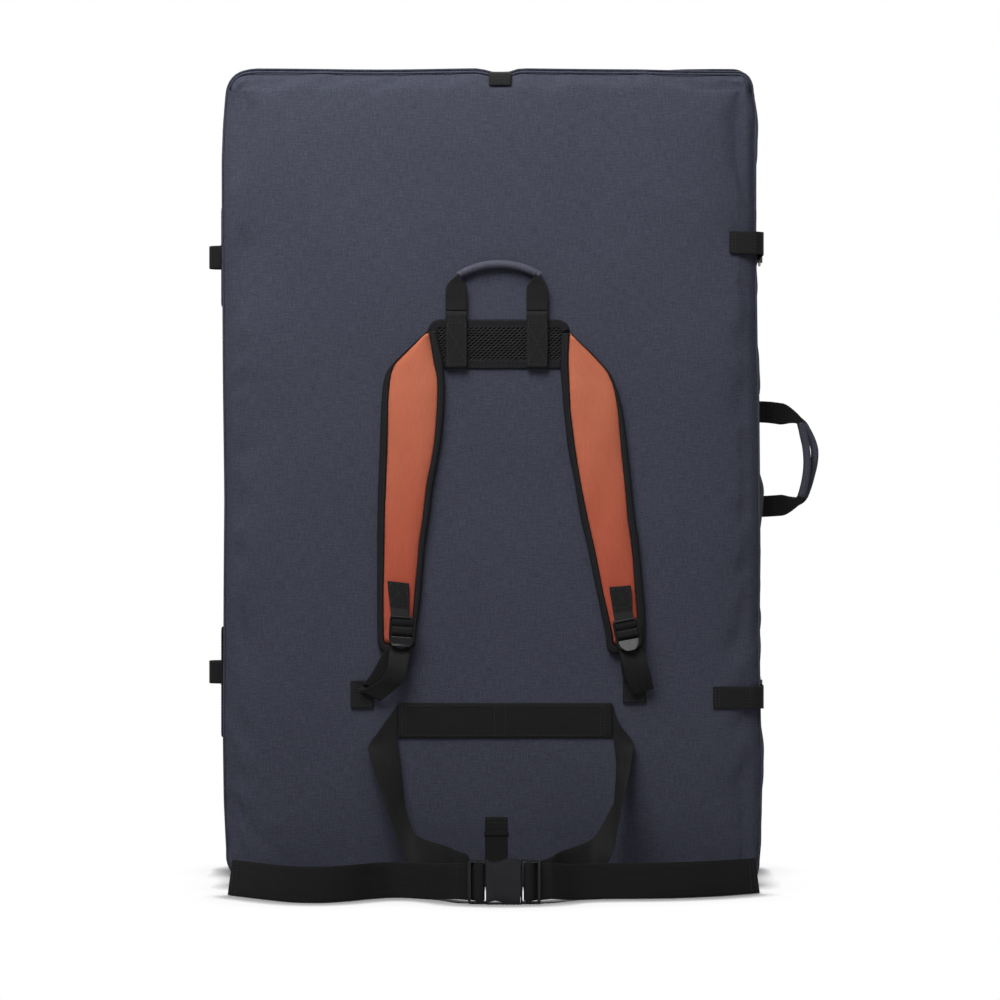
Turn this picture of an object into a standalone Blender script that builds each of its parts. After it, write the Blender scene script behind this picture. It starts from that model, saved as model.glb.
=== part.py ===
"""A hinge-folding bouldering crash pad, folded and standing on a short end.

Two foam-filled halves fold with their landing sides together. The front half carries the
backpack harness on its ground side: shoulder straps, haul handle and waist belt. Four
hooked straps hold the halves shut. Metres, +Z up, the harness side faces -Y, the fold
plane is y = 0 and the floor is z = 0.
"""

import math

import bmesh
import bpy
import numpy as np
from mathutils import Matrix, Vector

# Fits shared by every piece
FIT_GAP = 0.0003
CUT_OVERRUN = 0.01
SMOOTH_ANGLE = math.radians(40)

# The two halves of the pad
PAD_WIDTH = 0.590
PAD_HEIGHT = 0.890
HALF_DEPTH = 0.100
LANDING_GAP = 0.0015
PAD_CORNER_RADIUS = 0.035
PAD_INNER_CORNER = 0.012
CORNER_STEPS = 6
EDGE_RADIUS = 0.014
CROWN_DROP = 0.003
CROWN_REACH = 0.070
LANDING_EDGE = 0.003
SIDE_DRAW_IN = 0.0015
COVER_WALL = 0.003

# Foam layers inside each half, from the landing side outwards
LANDING_FOAM_DEPTH = 0.025
BASE_FOAM_DEPTH = 0.010
FOAM_SIDE_CLEARANCE = 0.0030

# The channel that the bottom closure presses into the foam
CHANNEL_DEPTH = 0.0100
CHANNEL_HALF_WIDTH = 0.029
CHANNEL_CHAMFER = 0.003

# The opening in the top wall that the foam goes in through, and its flap
ACCESS_LEFT = 0.050
ACCESS_LENGTH = 0.205
ACCESS_NEAR = 0.030
ACCESS_DEPTH = 0.040
FLAP_MARGIN = 0.012
FLAP_THICKNESS = 0.0016
FLAP_CORNER = 0.006

# The fold: a fabric strip between the landing sides, bent round a slack edge
HINGE_SLACK = 0.004
HINGE_STRIP_THICKNESS = 0.0008
HINGE_STRIP_LEAF = 0.045
HINGE_STRIP_END_MARGIN = 0.045
HINGE_BEND_STEPS = 6

# Webbing
WEB_THICKNESS = 0.0014
WEB_GAP = WEB_THICKNESS + FIT_GAP
HARNESS_X = 0.008

# Closures: four straps from the front half to the rear half
CLOSURE_WIDTH = 0.026
CLOSURE_TAB_TOP = 0.013
CLOSURE_TAB_BOTTOM = 0.078
CLOSURE_TAB_UPPER = 0.037
CLOSURE_TAB_LOWER = 0.055
CLOSURE_UPPER_Z = 0.7035
CLOSURE_LOWER_Z = 0.2075
KEEPER_Y = 0.050
KEEPER_WIDTH = 0.016
KEEPER_HALF_SPAN = 0.013
KEEPER_FOOT = 0.009
KEEPER_SLOPE = 0.003
BRIDGE_RISE = 0.0036
HOOK_THICKNESS = 0.0020
HOOK_TONGUE_WIDTH = 0.018
HOOK_BAR = 0.0035
HOOK_WINDOW = 0.0056
HOOK_TONGUE_LENGTH = 0.013
HOOK_LEAD = 0.012
HOOK_NECK = 0.0040
LOOP_RETURN = 0.022

# Lash loops and their patches on the hinge side
PATCH_THICKNESS = 0.0022
PATCH_NEAR = 0.012
PATCH_FAR = 0.080
PATCH_UPPER_Z = 0.6895
PATCH_UPPER_HEIGHT = 0.109
PATCH_LOWER_Z = 0.2235
PATCH_LOWER_HEIGHT = 0.121
LASH_UPPER_Z = 0.691
LASH_LOWER_Z = 0.233
LASH_WIDTH = 0.025
LASH_REACH = 0.0155
LASH_FOOT = 0.012
LASH_HALF_SPAN = 0.011
LASH_STEPS = 6

# Grab handles: a folded webbing loop inside a fabric sleeve
HANDLE_WEB_WIDTH = 0.025
CORE_WIDTH = 0.0040
CORE_THICKNESS = 0.0070
SLEEVE_WALL = 0.0026
HANDLE_POWER = 4.5
SLEEVE_STEPS = 14
SLEEVE_START_SHARE = 0.207
LEG_SHARES = (0.0, 0.012, 0.035, 0.070, 0.105, 0.140, 0.170)
LEG_END_SHARE = 0.070

# Haul handle above the yoke
HAUL_HALF_SPAN = 0.0438
HAUL_ROOT_Z = 0.6285
HAUL_REACH = 0.054
HAUL_LEG_BOTTOM_Z = 0.564

# Carry handles on the opening side
CARRY_Z = 0.468
CARRY_HALF_SPAN = 0.0528
CARRY_REACH = 0.0645
CARRY_PLANE = 0.0072

# Yoke between the shoulder straps
YOKE_TOP_Z = 0.620
YOKE_BOTTOM_Z = 0.566
YOKE_TAPE_HEIGHT = 0.0095
YOKE_LEFT = 0.0610
YOKE_RIGHT = 0.0655
YOKE_SIDE_TAPE = 0.004
YOKE_TAPE_OVERHANG_LEFT = 0.014
YOKE_TAPE_OVERHANG_RIGHT = 0.008
YOKE_THICKNESS = 0.0030
YOKE_TAPE_THICKNESS = 0.0034

# Shoulder straps
STRAP_THICKNESS = 0.0100
STRAP_MAX_WIDTH = 0.068
STRAP_SPREAD = 0.100
STRAP_DROP = 0.352
STRAP_TOP_Z = 0.6095
BINDING_WIDTH = 0.0062
BINDING_THICKNESS = 0.0086
BINDING_CORNER = 0.0018
PAD_SOFT_EDGE = 0.0025

# Rows give share of the drop, centre as a share of the spread, width as a share of the most
STRAP_LEFT_SHARES = (
    (0.110, 0.909, 0.812),
    (0.140, 0.930, 0.913),
    (0.194, 0.938, 0.985),
    (0.250, 0.949, 1.000),
    (0.330, 0.973, 0.976),
    (0.407, 0.997, 0.938),
    (0.488, 1.028, 0.881),
    (0.593, 1.055, 0.832),
    (0.716, 1.082, 0.753),
    (0.840, 1.104, 0.688),
    (0.963, 1.131, 0.590),
)
STRAP_RIGHT_SHARES = (
    (0.110, 0.893, 0.680),
    (0.140, 0.931, 0.790),
    (0.194, 0.974, 0.875),
    (0.250, 1.018, 0.937),
    (0.370, 1.067, 0.954),
    (0.466, 1.118, 0.913),
    (0.593, 1.178, 0.865),
    (0.655, 1.227, 0.849),
    (0.760, 1.279, 0.776),
    (0.853, 1.333, 0.729),
    (0.963, 1.372, 0.625),
)
STRAP_TIP_LEFT_SHARE = 0.75
STRAP_TIP_RIGHT_SHARE = 0.68
STRAP_END_WIDTH_SHARE = 0.34
NEARLY_STRAIGHT_SHARE = 0.0001

# Ladder locks, their tabs and the adjuster webbing
LOCK_WIDTH = 0.028
LOCK_THICKNESS = 0.0030
LOCK_TOP_BAR = 0.0040
LOCK_UPPER_WINDOW = 0.0075
LOCK_MIDDLE_BAR = 0.0036
LOCK_LOWER_WINDOW = 0.0070
LOCK_TONGUE = 0.0090
LOCK_TONGUE_CURL = 0.0040
LOCK_RAIL = 0.0025
LOCK_LOOP_CLEARANCE = 0.0012
ADJUSTER_WIDTH = 0.0220
TAB_WIDTH = 0.0220
TAB_LENGTH = 0.040
LOCK_LEFT_X = 0.1052
LOCK_LEFT_ABOVE = 0.0352
LOCK_LEFT_TILT = 4.0
LOCK_RIGHT_X = 0.1360
LOCK_RIGHT_ABOVE = 0.0320
LOCK_RIGHT_TILT = 11.0
ANCHOR_WIDTH = 0.025
ANCHOR_HEIGHT = 0.030
ANCHOR_THICKNESS = 0.0030
ANCHOR_LEFT_X = 0.1500
ANCHOR_LEFT_BELOW = 0.0460
ANCHOR_RIGHT_X = 0.1462
ANCHOR_RIGHT_BELOW = 0.0405
LOAD_LEAD = 0.0090
LOAD_SLACK = 0.0075
TAIL_LEFT_X = 0.1305
TAIL_LEFT_BELOW = 0.0465
TAIL_RIGHT_X = 0.1570
TAIL_RIGHT_BELOW = 0.0375
TAIL_STANDOFF = 0.0200

# Waist belt
BELT_WIDTH = 0.038
BELT_BAND_Z = 0.183
BELT_BAND_LEFT = 0.1108
BELT_BAND_RIGHT = 0.122
BELT_FORWARD = 0.130
BELT_FLOOR_GAP = 0.0004
BELT_SPREAD = 0.145
BELT_TAIL_LEFT = 0.291
BELT_TAIL_RIGHT = 0.279
BELT_LAST_RUN = 0.012

# Rows give the inner edge, then the outer edge: x as a share of the spread, how far in
# front of the pad as a share of the belt's reach, height as a share of the band's height
BELT_LEFT_SHARES = (
    (0.769, 0.015, 0.896, 0.769, 0.015, 1.093),
    (0.770, 0.020, 0.892, 0.851, 0.023, 1.003),
    (0.771, 0.025, 0.886, 0.897, 0.031, 0.950),
    (0.769, 0.031, 0.874, 0.983, 0.046, 0.852),
    (0.750, 0.040, 0.780, 0.968, 0.108, 0.780),
    (0.728, 0.070, 0.612, 0.893, 0.230, 0.612),
    (0.709, 0.140, 0.494, 0.810, 0.385, 0.428),
    (0.637, 0.330, 0.360, 0.712, 0.520, 0.250),
    (0.548, 0.510, 0.330, 0.593, 0.640, 0.150),
    (0.405, 0.730, 0.284, 0.430, 0.820, 0.060),
)
BELT_RIGHT_SHARES = (
    (0.846, 0.015, 0.935, 0.846, 0.015, 1.093),
    (0.850, 0.020, 0.905, 0.890, 0.028, 0.990),
    (0.852, 0.028, 0.885, 1.000, 0.046, 0.869),
    (0.865, 0.038, 0.809, 0.993, 0.108, 0.803),
    (0.872, 0.062, 0.727, 0.963, 0.200, 0.672),
    (0.854, 0.170, 0.541, 0.906, 0.430, 0.541),
    (0.828, 0.230, 0.492, 0.869, 0.508, 0.420),
    (0.716, 0.440, 0.361, 0.819, 0.640, 0.250),
    (0.623, 0.560, 0.314, 0.690, 0.690, 0.130),
    (0.440, 0.780, 0.265, 0.470, 0.840, 0.060),
)

# Rows give a tail's x as a share of its length and how far forward it stands on the floor
TAIL_LEFT_SHARES = (
    (0.240, 0.740),
    (0.366, 0.620),
    (0.460, 0.690),
    (0.550, 0.850),
    (0.650, 0.950),
    (0.760, 0.900),
    (0.880, 0.690),
    (1.000, 0.450),
)
TAIL_RIGHT_SHARES = (
    (0.280, 0.780),
    (0.400, 0.700),
    (0.540, 0.680),
    (0.680, 0.640),
    (0.840, 0.520),
    (1.000, 0.330),
)

# Side-release buckle, lying along X with its bars for the belt at both ends
BUCKLE_X = 0.0115
BUCKLE_HALF_HEIGHT = 0.0232
BUCKLE_SHELL_HALF_LENGTH = 0.018
BUCKLE_SHELL_HALF_DEPTH = 0.0062
BUCKLE_PLATE_HALF_DEPTH = 0.0022
BUCKLE_CORNER = 0.004
BUCKLE_SIDE_RAIL = 0.0024
BUCKLE_WINDOW_B = 0.0050
BUCKLE_MIDDLE_BAR = 0.0035
BUCKLE_WINDOW_A = 0.0072
BUCKLE_END_BAR = 0.0033
CAVITY_HALF_HEIGHT = 0.0160
CAVITY_HALF_DEPTH = 0.0034
CAVITY_BACK_WALL = 0.0035
MALE_CROSSBAR = 0.0040
MALE_FLANGE = 0.0018
GUIDE_HALF_HEIGHT = 0.0026
GUIDE_TIP_TAPER = 0.0008
ARM_ROOT_INNER = 0.0092
ARM_THICKNESS = 0.0034
ARM_HALF_DEPTH = 0.0028
ARM_LENGTH = 0.0250
ARM_ROOT_GAP = 0.0006
LATCH_SETBACK = 0.0175
LATCH_RISE = 0.0028
THUMB_RISE = 0.0056
WINDOW_END_MARGIN = 0.0045
NOTCH_HALF_WIDTH = 0.0095
NOTCH_DEPTH = 0.0035


def clear_scene():
    """Take every object out, so that the model is all there is."""
    for obj in list(bpy.data.objects):
        bpy.data.objects.remove(obj, do_unlink=True)


def material(name, colour, roughness, metallic=0.0):
    """A Principled material, made once for each name."""
    found = bpy.data.materials.get(name)
    if found:
        return found
    made = bpy.data.materials.new(name)
    made.use_nodes = True
    made.diffuse_color = (*colour, 1)
    shader = made.node_tree.nodes["Principled BSDF"]
    shader.inputs["Base Color"].default_value = (*colour, 1)
    shader.inputs["Roughness"].default_value = roughness
    shader.inputs["Metallic"].default_value = metallic
    return made


def navy_fabric():
    return material("navy_fabric", (0.052, 0.055, 0.080), 0.85)


def black_webbing():
    return material("black_webbing", (0.011, 0.011, 0.012), 0.75)


def black_fabric():
    return material("black_fabric", (0.013, 0.013, 0.015), 0.9)


def black_mesh():
    return material("black_mesh", (0.012, 0.012, 0.013), 0.9)


def orange_fabric():
    return material("orange_fabric", (0.400, 0.112, 0.066), 0.8)


def closed_cell_foam():
    return material("closed_cell_foam", (0.10, 0.10, 0.11), 0.9)


def open_cell_foam():
    return material("open_cell_foam", (0.62, 0.60, 0.50), 0.95)


def moulded_plastic():
    return material("moulded_plastic", (0.020, 0.020, 0.023), 0.35)


def hook_metal():
    return material("hook_metal", (0.55, 0.56, 0.57), 0.35, 1.0)


def add_object(name, bm, finish, smooth=True):
    """Turn a bmesh into a named object with outward faces and its own material."""
    bmesh.ops.recalc_face_normals(bm, faces=bm.faces)
    mesh = bpy.data.meshes.new(name)
    bm.to_mesh(mesh)
    bm.free()
    if smooth:
        mesh.shade_smooth()
        mesh.set_sharp_from_angle(angle=SMOOTH_ANGLE)
    mesh.materials.append(finish)
    obj = bpy.data.objects.new(name, mesh)
    bpy.context.scene.collection.objects.link(obj)
    return obj


def set_origin(obj, point):
    """Put the object's origin on its joint axis and leave the shape where it is."""
    obj.data.transform(Matrix.Translation(-Vector(point)))
    obj.location = Vector(point)


def rings_to_bmesh(rings, closed_path=False):
    """Join rings of equal length into a closed skin, capped at both ends unless it loops."""
    bm = bmesh.new()
    layers = [[bm.verts.new(p) for p in ring] for ring in rings]
    count = len(layers[0])
    pairs = list(zip(layers, layers[1:]))
    if closed_path:
        pairs.append((layers[-1], layers[0]))
    for lower, upper in pairs:
        for i in range(count):
            j = (i + 1) % count
            bm.faces.new((lower[i], lower[j], upper[j], upper[i]))
    if not closed_path:
        bm.faces.new(layers[0])
        bm.faces.new(layers[-1])
    return bm


def cut(target, cutter):
    """Subtract one object from another with a live Boolean, and hide the cutter."""
    cutter.hide_render = True
    cutter.display_type = "WIRE"
    modifier = target.modifiers.new("cut", "BOOLEAN")
    modifier.operation = "DIFFERENCE"
    modifier.solver = "EXACT"
    modifier.object = cutter


class Frame:
    """A local frame: an origin and three directions for a piece drawn flat."""

    def __init__(self, origin, u, v, n):
        self.origin = Vector(origin)
        self.u = Vector(u)
        self.v = Vector(v)
        self.n = Vector(n)

    def at(self, a, b, c=0.0):
        return self.origin + self.u * a + self.v * b + self.n * c


def plate(name, frame, outline, low, high, finish):
    """Extrude a flat outline of (u, v) points along the frame's n from low to high."""
    rings = [[frame.at(a, b, c) for a, b in outline] for c in (low, high)]
    return add_object(name, rings_to_bmesh(rings), finish, smooth=False)


def rectangle(low_u, high_u, low_v, high_v):
    return [(low_u, low_v), (high_u, low_v), (high_u, high_v), (low_u, high_v)]


def rounded_rectangle(low_u, high_u, low_v, high_v, radius, steps=CORNER_STEPS):
    """The outline of a rectangle whose corners are arcs."""
    centres = (
        (high_u - radius, low_v + radius, -90),
        (high_u - radius, high_v - radius, 0),
        (low_u + radius, high_v - radius, 90),
        (low_u + radius, low_v + radius, 180),
    )
    points = []
    for cu, cv, start in centres:
        for i in range(steps + 1):
            turn = math.radians(start + 90 * i / steps)
            points.append((cu + radius * math.cos(turn), cv + radius * math.sin(turn)))
    return points


def smooth_through(points, steps):
    """Points of a centripetal spline through the given ones, steps to a span."""
    given = [Vector(p) for p in points]
    ends = [given[0] * 2 - given[1]] + given + [given[-1] * 2 - given[-2]]
    made = []
    for a, b, c, d in zip(ends, ends[1:], ends[2:], ends[3:]):
        for i in range(steps):
            t = i / steps
            made.append(
                0.5
                * (
                    2 * b
                    + (c - a) * t
                    + (2 * a - 5 * b + 4 * c - d) * t**2
                    + (3 * b - a - 3 * c + d) * t**3
                )
            )
    made.append(given[-1])
    return made


def directions(points):
    """The direction of travel at each point of a path."""
    count = len(points)
    return [
        (points[min(i + 1, count - 1)] - points[max(i - 1, 0)]).normalized()
        for i in range(count)
    ]


def as_list(value, count):
    return list(value) if isinstance(value, (list, tuple)) else [value] * count


def flat_strap(name, points, across, width, thickness, finish):
    """A strap of rectangular section along points; across gives its width direction.

    Width and thickness are single sizes or one for each point.
    """
    widths = as_list(width, len(points))
    depths = as_list(thickness, len(points))
    rings = []
    for point, travel, wide, deep in zip(points, directions(points), widths, depths):
        side = Vector(across)
        side = (side - travel * side.dot(travel)).normalized()
        half, rise = side * wide / 2, travel.cross(side) * deep / 2
        rings.append([point - half - rise, point + half - rise, point + half + rise, point - half + rise])
    return add_object(name, rings_to_bmesh(rings), finish)


def edge_profile():
    """(inset, drop) points of a half's ground-side edge, from the wall to the plateau.

    Inset is how far in from the outline, and drop how far below the plateau. A quarter
    round leads from the side wall into a shallow crown.
    """
    round_steps, crown_steps = 4, 3
    points = []
    for i in range(round_steps + 1):
        turn = math.radians(90 * i / round_steps)
        inset = EDGE_RADIUS * (1 - math.cos(turn))
        points.append((inset, CROWN_DROP + EDGE_RADIUS * (1 - math.sin(turn))))
    for i in range(1, crown_steps + 1):
        share = i / crown_steps
        inset = EDGE_RADIUS + (CROWN_REACH - EDGE_RADIUS) * share
        points.append((inset, CROWN_DROP * (1 - share) ** 2))
    return points


def pad_ring(inset, y, draw=0.0):
    """One outline of a half at depth y. Draw pulls in every side but the one it stands on."""
    radius = max(PAD_CORNER_RADIUS - inset, PAD_INNER_CORNER)
    half = PAD_WIDTH / 2 - inset - draw
    outline = rounded_rectangle(-half, half, inset, PAD_HEIGHT - inset - draw, radius)
    return [Vector((x, y, z)) for x, z in outline]


def pad_body(side, offset):
    """Rings of a half from its landing side to its ground side, all set in by offset."""
    landing = LANDING_GAP + offset
    ground = HALF_DEPTH - offset
    wall_start = landing + LANDING_EDGE
    wall_end = ground - CROWN_DROP - EDGE_RADIUS
    rings = [
        pad_ring(offset + LANDING_EDGE, side * landing),
        pad_ring(offset, side * wall_start),
        pad_ring(offset, side * (wall_start + wall_end) / 2, SIDE_DRAW_IN),
    ]
    for inset, drop in edge_profile():
        rings.append(pad_ring(offset + inset, side * (ground - drop)))
    return rings


def channel_cutter(name, margin):
    """The groove along the bottom where the closure strap runs, grown by margin."""
    half = CHANNEL_HALF_WIDTH + margin
    top = CHANNEL_DEPTH + margin
    outline = [
        (-half, -CUT_OVERRUN),
        (half, -CUT_OVERRUN),
        (half, top - CHANNEL_CHAMFER),
        (half - CHANNEL_CHAMFER, top),
        (-half + CHANNEL_CHAMFER, top),
        (-half, top - CHANNEL_CHAMFER),
    ]
    frame = Frame((HARNESS_X, 0, 0), (1, 0, 0), (0, 0, 1), (0, 1, 0))
    reach = HALF_DEPTH + CUT_OVERRUN
    return plate(name, frame, outline, -reach, reach, black_fabric())


def cover(name, side, channel, wall_channel):
    """A half's fabric cover: a hollow shell with the foam's opening in its top wall."""
    shell = add_object(name, rings_to_bmesh(pad_body(side, 0)), navy_fabric())
    inside = add_object(name + "_cavity", rings_to_bmesh(pad_body(side, COVER_WALL)), black_fabric())
    cut(inside, wall_channel)
    slot = plate(
        name + "_slot",
        Frame((0, 0, PAD_HEIGHT), (1, 0, 0), (0, side, 0), (0, 0, 1)),
        rectangle(ACCESS_LEFT, ACCESS_LEFT + ACCESS_LENGTH, ACCESS_NEAR, ACCESS_NEAR + ACCESS_DEPTH),
        -2 * COVER_WALL - SIDE_DRAW_IN,
        CUT_OVERRUN,
        black_fabric(),
    )
    cut(shell, channel)
    cut(shell, inside)
    cut(shell, slot)
    inside.hide_render = True
    return shell


def foam_outline():
    inset = COVER_WALL + FOAM_SIDE_CLEARANCE
    half = PAD_WIDTH / 2 - inset
    radius = PAD_CORNER_RADIUS - inset
    return rounded_rectangle(-half, half, inset, PAD_HEIGHT - inset, radius)


def foam_layers(prefix, side, foam_channel):
    """Three layers fill a cover: firm landing foam, soft core, firm base."""
    near = LANDING_GAP + COVER_WALL + FIT_GAP
    far = HALF_DEPTH - COVER_WALL - FIT_GAP
    landing_end = near + LANDING_FOAM_DEPTH
    base_start = far - BASE_FOAM_DEPTH
    frame = Frame((0, 0, 0), (1, 0, 0), (0, 0, 1), (0, side, 0))
    layers = [
        plate(prefix + "_landing_foam", frame, foam_outline(), near, landing_end, closed_cell_foam()),
        plate(
            prefix + "_core_foam",
            frame,
            foam_outline(),
            landing_end + FIT_GAP,
            base_start - FIT_GAP,
            open_cell_foam(),
        ),
        base_foam(prefix + "_base_foam", side, base_start, far),
    ]
    for layer in layers:
        cut(layer, foam_channel)
    return layers


def base_foam(name, side, start, end):
    """The base layer follows the cover's rounded ground-side edge."""
    offset = COVER_WALL + FIT_GAP
    rings = []
    for inset, drop in edge_profile():
        depth = end - drop
        if depth > start + FIT_GAP:
            rings.append(pad_ring(offset + inset, side * depth))
    rings.insert(0, pad_ring(offset + profile_inset(end - start), side * start))
    return add_object(name, rings_to_bmesh(rings), closed_cell_foam())


def profile_inset(drop):
    """How far in the ground-side edge lies at a given drop below the plateau."""
    points = edge_profile()
    drops = [d for _, d in reversed(points)]
    insets = [i for i, _ in reversed(points)]
    return float(np.interp(drop, drops, insets))


def foam_flap(name, side):
    """The black flap over the foam opening, hinged along its edge by the fold."""
    start = ACCESS_NEAR - FLAP_MARGIN
    outline = rounded_rectangle(
        ACCESS_LEFT - FLAP_MARGIN,
        ACCESS_LEFT + ACCESS_LENGTH + FLAP_MARGIN,
        start,
        ACCESS_NEAR + ACCESS_DEPTH + FLAP_MARGIN,
        FLAP_CORNER,
        steps=3,
    )
    frame = Frame((0, 0, PAD_HEIGHT + FIT_GAP), (1, 0, 0), (0, side, 0), (0, 0, 1))
    flap = plate(name, frame, outline, 0, FLAP_THICKNESS, black_fabric())
    set_origin(flap, (ACCESS_LEFT, side * start, PAD_HEIGHT + FIT_GAP))
    return flap


def fold_hinge_strip():
    """Fabric joining the landing sides: a leaf on each, bent round the hinge axis."""
    leaf_y = LANDING_GAP - FIT_GAP - HINGE_STRIP_THICKNESS / 2
    axis_x = -PAD_WIDTH / 2 - HINGE_SLACK + leaf_y
    inner_x = -PAD_WIDTH / 2 + HINGE_STRIP_LEAF
    path = [Vector((inner_x, -leaf_y, 0))]
    for i in range(HINGE_BEND_STEPS + 1):
        turn = math.radians(-90 - 180 * i / HINGE_BEND_STEPS)
        path.append(Vector((axis_x + leaf_y * math.cos(turn), leaf_y * math.sin(turn), 0)))
    path.append(Vector((inner_x, leaf_y, 0)))
    low, high = HINGE_STRIP_END_MARGIN, PAD_HEIGHT - HINGE_STRIP_END_MARGIN
    middle = Vector((0, 0, (low + high) / 2))
    points = [p + middle for p in path]
    flat_strap("fold_hinge_strip", points, (0, 0, 1), high - low, HINGE_STRIP_THICKNESS, black_fabric())


def closure_frames():
    """Name, wall frame (u into the pad, v along y, n across), tab length, wall seat."""
    top = Frame((HARNESS_X, 0, PAD_HEIGHT), (0, 0, -1), (0, 1, 0), (1, 0, 0))
    bottom = Frame((HARNESS_X, 0, 0), (0, 0, 1), (0, 1, 0), (1, 0, 0))
    upper = Frame((PAD_WIDTH / 2, 0, CLOSURE_UPPER_Z), (-1, 0, 0), (0, 1, 0), (0, 0, 1))
    lower = Frame((PAD_WIDTH / 2, 0, CLOSURE_LOWER_Z), (-1, 0, 0), (0, 1, 0), (0, 0, 1))
    return (
        ("top", top, CLOSURE_TAB_TOP, 0.0),
        ("bottom", bottom, CLOSURE_TAB_BOTTOM, CHANNEL_DEPTH),
        ("upper", upper, CLOSURE_TAB_UPPER, 0.0),
        ("lower", lower, CLOSURE_TAB_LOWER, 0.0),
    )


def closure_pivot_y():
    return -(HALF_DEPTH - CROWN_DROP - EDGE_RADIUS)


def closure_tab_path(frame, length, seat):
    """From the stitched end on the ground side, over the rounded edge to the wall."""
    lift = FIT_GAP + WEB_THICKNESS / 2
    wall_line = seat - lift
    profile = [(inset, -(HALF_DEPTH - drop)) for inset, drop in edge_profile()]
    raised = []
    for i, (a, y) in enumerate(profile):
        before = profile[max(i - 1, 0)]
        after = profile[min(i + 1, len(profile) - 1)]
        run = Vector((after[0] - before[0], after[1] - before[1])).normalized()
        raised.append((a + run.y * lift, y - run.x * lift))
    raised.reverse()
    start_y = float(np.interp(length, [a for a, _ in reversed(raised)], [y for _, y in reversed(raised)]))
    path = [(length, start_y)]
    path += [(a, y) for a, y in raised if wall_line + lift < a < length - lift]
    path.append((wall_line, path[-1][1] + lift))
    path.append((wall_line, closure_pivot_y()))
    return [frame.at(a, y) for a, y in path]


def hook_levels():
    """Distances from the wall to the middles of the tongue, the hook plate and its webbing."""
    tongue = BRIDGE_RISE / 2
    hook = BRIDGE_RISE + WEB_THICKNESS + FIT_GAP + HOOK_THICKNESS / 2
    over = HOOK_THICKNESS / 2 + FIT_GAP + WEB_THICKNESS / 2
    return tongue, hook, over


def closure_bar_y():
    """Where the hook's bar starts along y, worked back from the keeper it reaches."""
    return KEEPER_Y - KEEPER_WIDTH / 2 - HOOK_LEAD - HOOK_WINDOW - HOOK_BAR


def closure_strap_path(frame, seat):
    """Along the wall, then round the hook's bar and back on itself as the sewn loop."""
    low = seat - FIT_GAP - WEB_THICKNESS / 2
    _, hook, over = hook_levels()
    plane = seat - hook
    bar_near = closure_bar_y()
    bar_far = bar_near + HOOK_BAR
    path = [
        (low, closure_pivot_y() + FIT_GAP),
        (low, bar_near - LOOP_RETURN),
        (plane + over, bar_near),
        (plane + over, bar_far),
    ]
    for i in range(1, 4):
        turn = math.radians(90 - 180 * i / 4)
        path.append((plane + over * math.sin(turn), bar_far + over * math.cos(turn)))
    path += [
        (plane - over, bar_far),
        (plane - over, bar_near),
        (low - WEB_GAP, bar_near - LOOP_RETURN),
        (low - WEB_GAP, bar_near - 2 * LOOP_RETURN),
    ]
    return [frame.at(a, y) for a, y in path]


def closure_hook(name, frame, seat):
    """A flat hook: slotted plate, bend past the keeper, tongue back under its bridge."""
    tongue, hook, _ = hook_levels()
    wide = CLOSURE_WIDTH + 2 * HOOK_BAR
    start = closure_bar_y()
    shoulder = start + 2 * HOOK_BAR + HOOK_WINDOW
    bend = KEEPER_Y + KEEPER_WIDTH / 2 + FIT_GAP
    radius = (hook - tongue) / 2
    middle = seat - (hook + tongue) / 2
    path = [(seat - hook, start), (seat - hook, shoulder), (seat - hook, shoulder + HOOK_NECK)]
    widths = [wide, wide, HOOK_TONGUE_WIDTH]
    for i in range(7):
        turn = math.pi * i / 6
        path.append((middle - radius * math.cos(turn), bend + radius * math.sin(turn)))
        widths.append(HOOK_TONGUE_WIDTH)
    path.append((seat - tongue, bend - HOOK_TONGUE_LENGTH))
    widths.append(HOOK_TONGUE_WIDTH)
    points = [frame.at(a, y) for a, y in path]
    hook_object = flat_strap(name, points, frame.n, widths, HOOK_THICKNESS, hook_metal())
    flat = Frame(frame.at(seat - hook, start + HOOK_BAR), frame.v, frame.n, frame.u)
    half = (CLOSURE_WIDTH + FIT_GAP * 2) / 2
    window = plate(
        name + "_window",
        flat,
        rectangle(0, HOOK_WINDOW, -half, half),
        -CUT_OVERRUN,
        CUT_OVERRUN,
        hook_metal(),
    )
    cut(hook_object, window)
    return hook_object


def closure_keeper(name, frame, seat):
    """A webbing bridge on the rear half's wall, sewn down at its two feet."""
    low = seat - FIT_GAP - WEB_THICKNESS / 2
    high = seat - BRIDGE_RISE - WEB_THICKNESS / 2
    step = KEEPER_HALF_SPAN + KEEPER_SLOPE
    end = step + KEEPER_FOOT
    path = [(low, -end), (low, -step), (high, -KEEPER_HALF_SPAN)]
    path += [(a, -across) for a, across in reversed(path)]
    points = [frame.at(a, KEEPER_Y, across) for a, across in path]
    flat_strap(name, points, frame.v, KEEPER_WIDTH, WEB_THICKNESS, black_webbing())


def closures():
    """Four straps, each with its sewn tab, hook and keeper."""
    for name, frame, tab_length, seat in closure_frames():
        tab_path = closure_tab_path(frame, tab_length, seat)
        flat_strap(
            "closure_tab_" + name, tab_path, frame.n, CLOSURE_WIDTH, WEB_THICKNESS, black_webbing()
        )
        pivot = frame.at(seat - WEB_THICKNESS - FIT_GAP * 3 / 2, closure_pivot_y())
        strap = flat_strap(
            "closure_strap_" + name,
            closure_strap_path(frame, seat),
            frame.n,
            CLOSURE_WIDTH,
            WEB_THICKNESS,
            black_webbing(),
        )
        set_origin(strap, pivot)
        hook = closure_hook("closure_hook_" + name, frame, seat)
        set_origin(hook, pivot)
        closure_keeper("closure_keeper_" + name, frame, seat)


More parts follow.
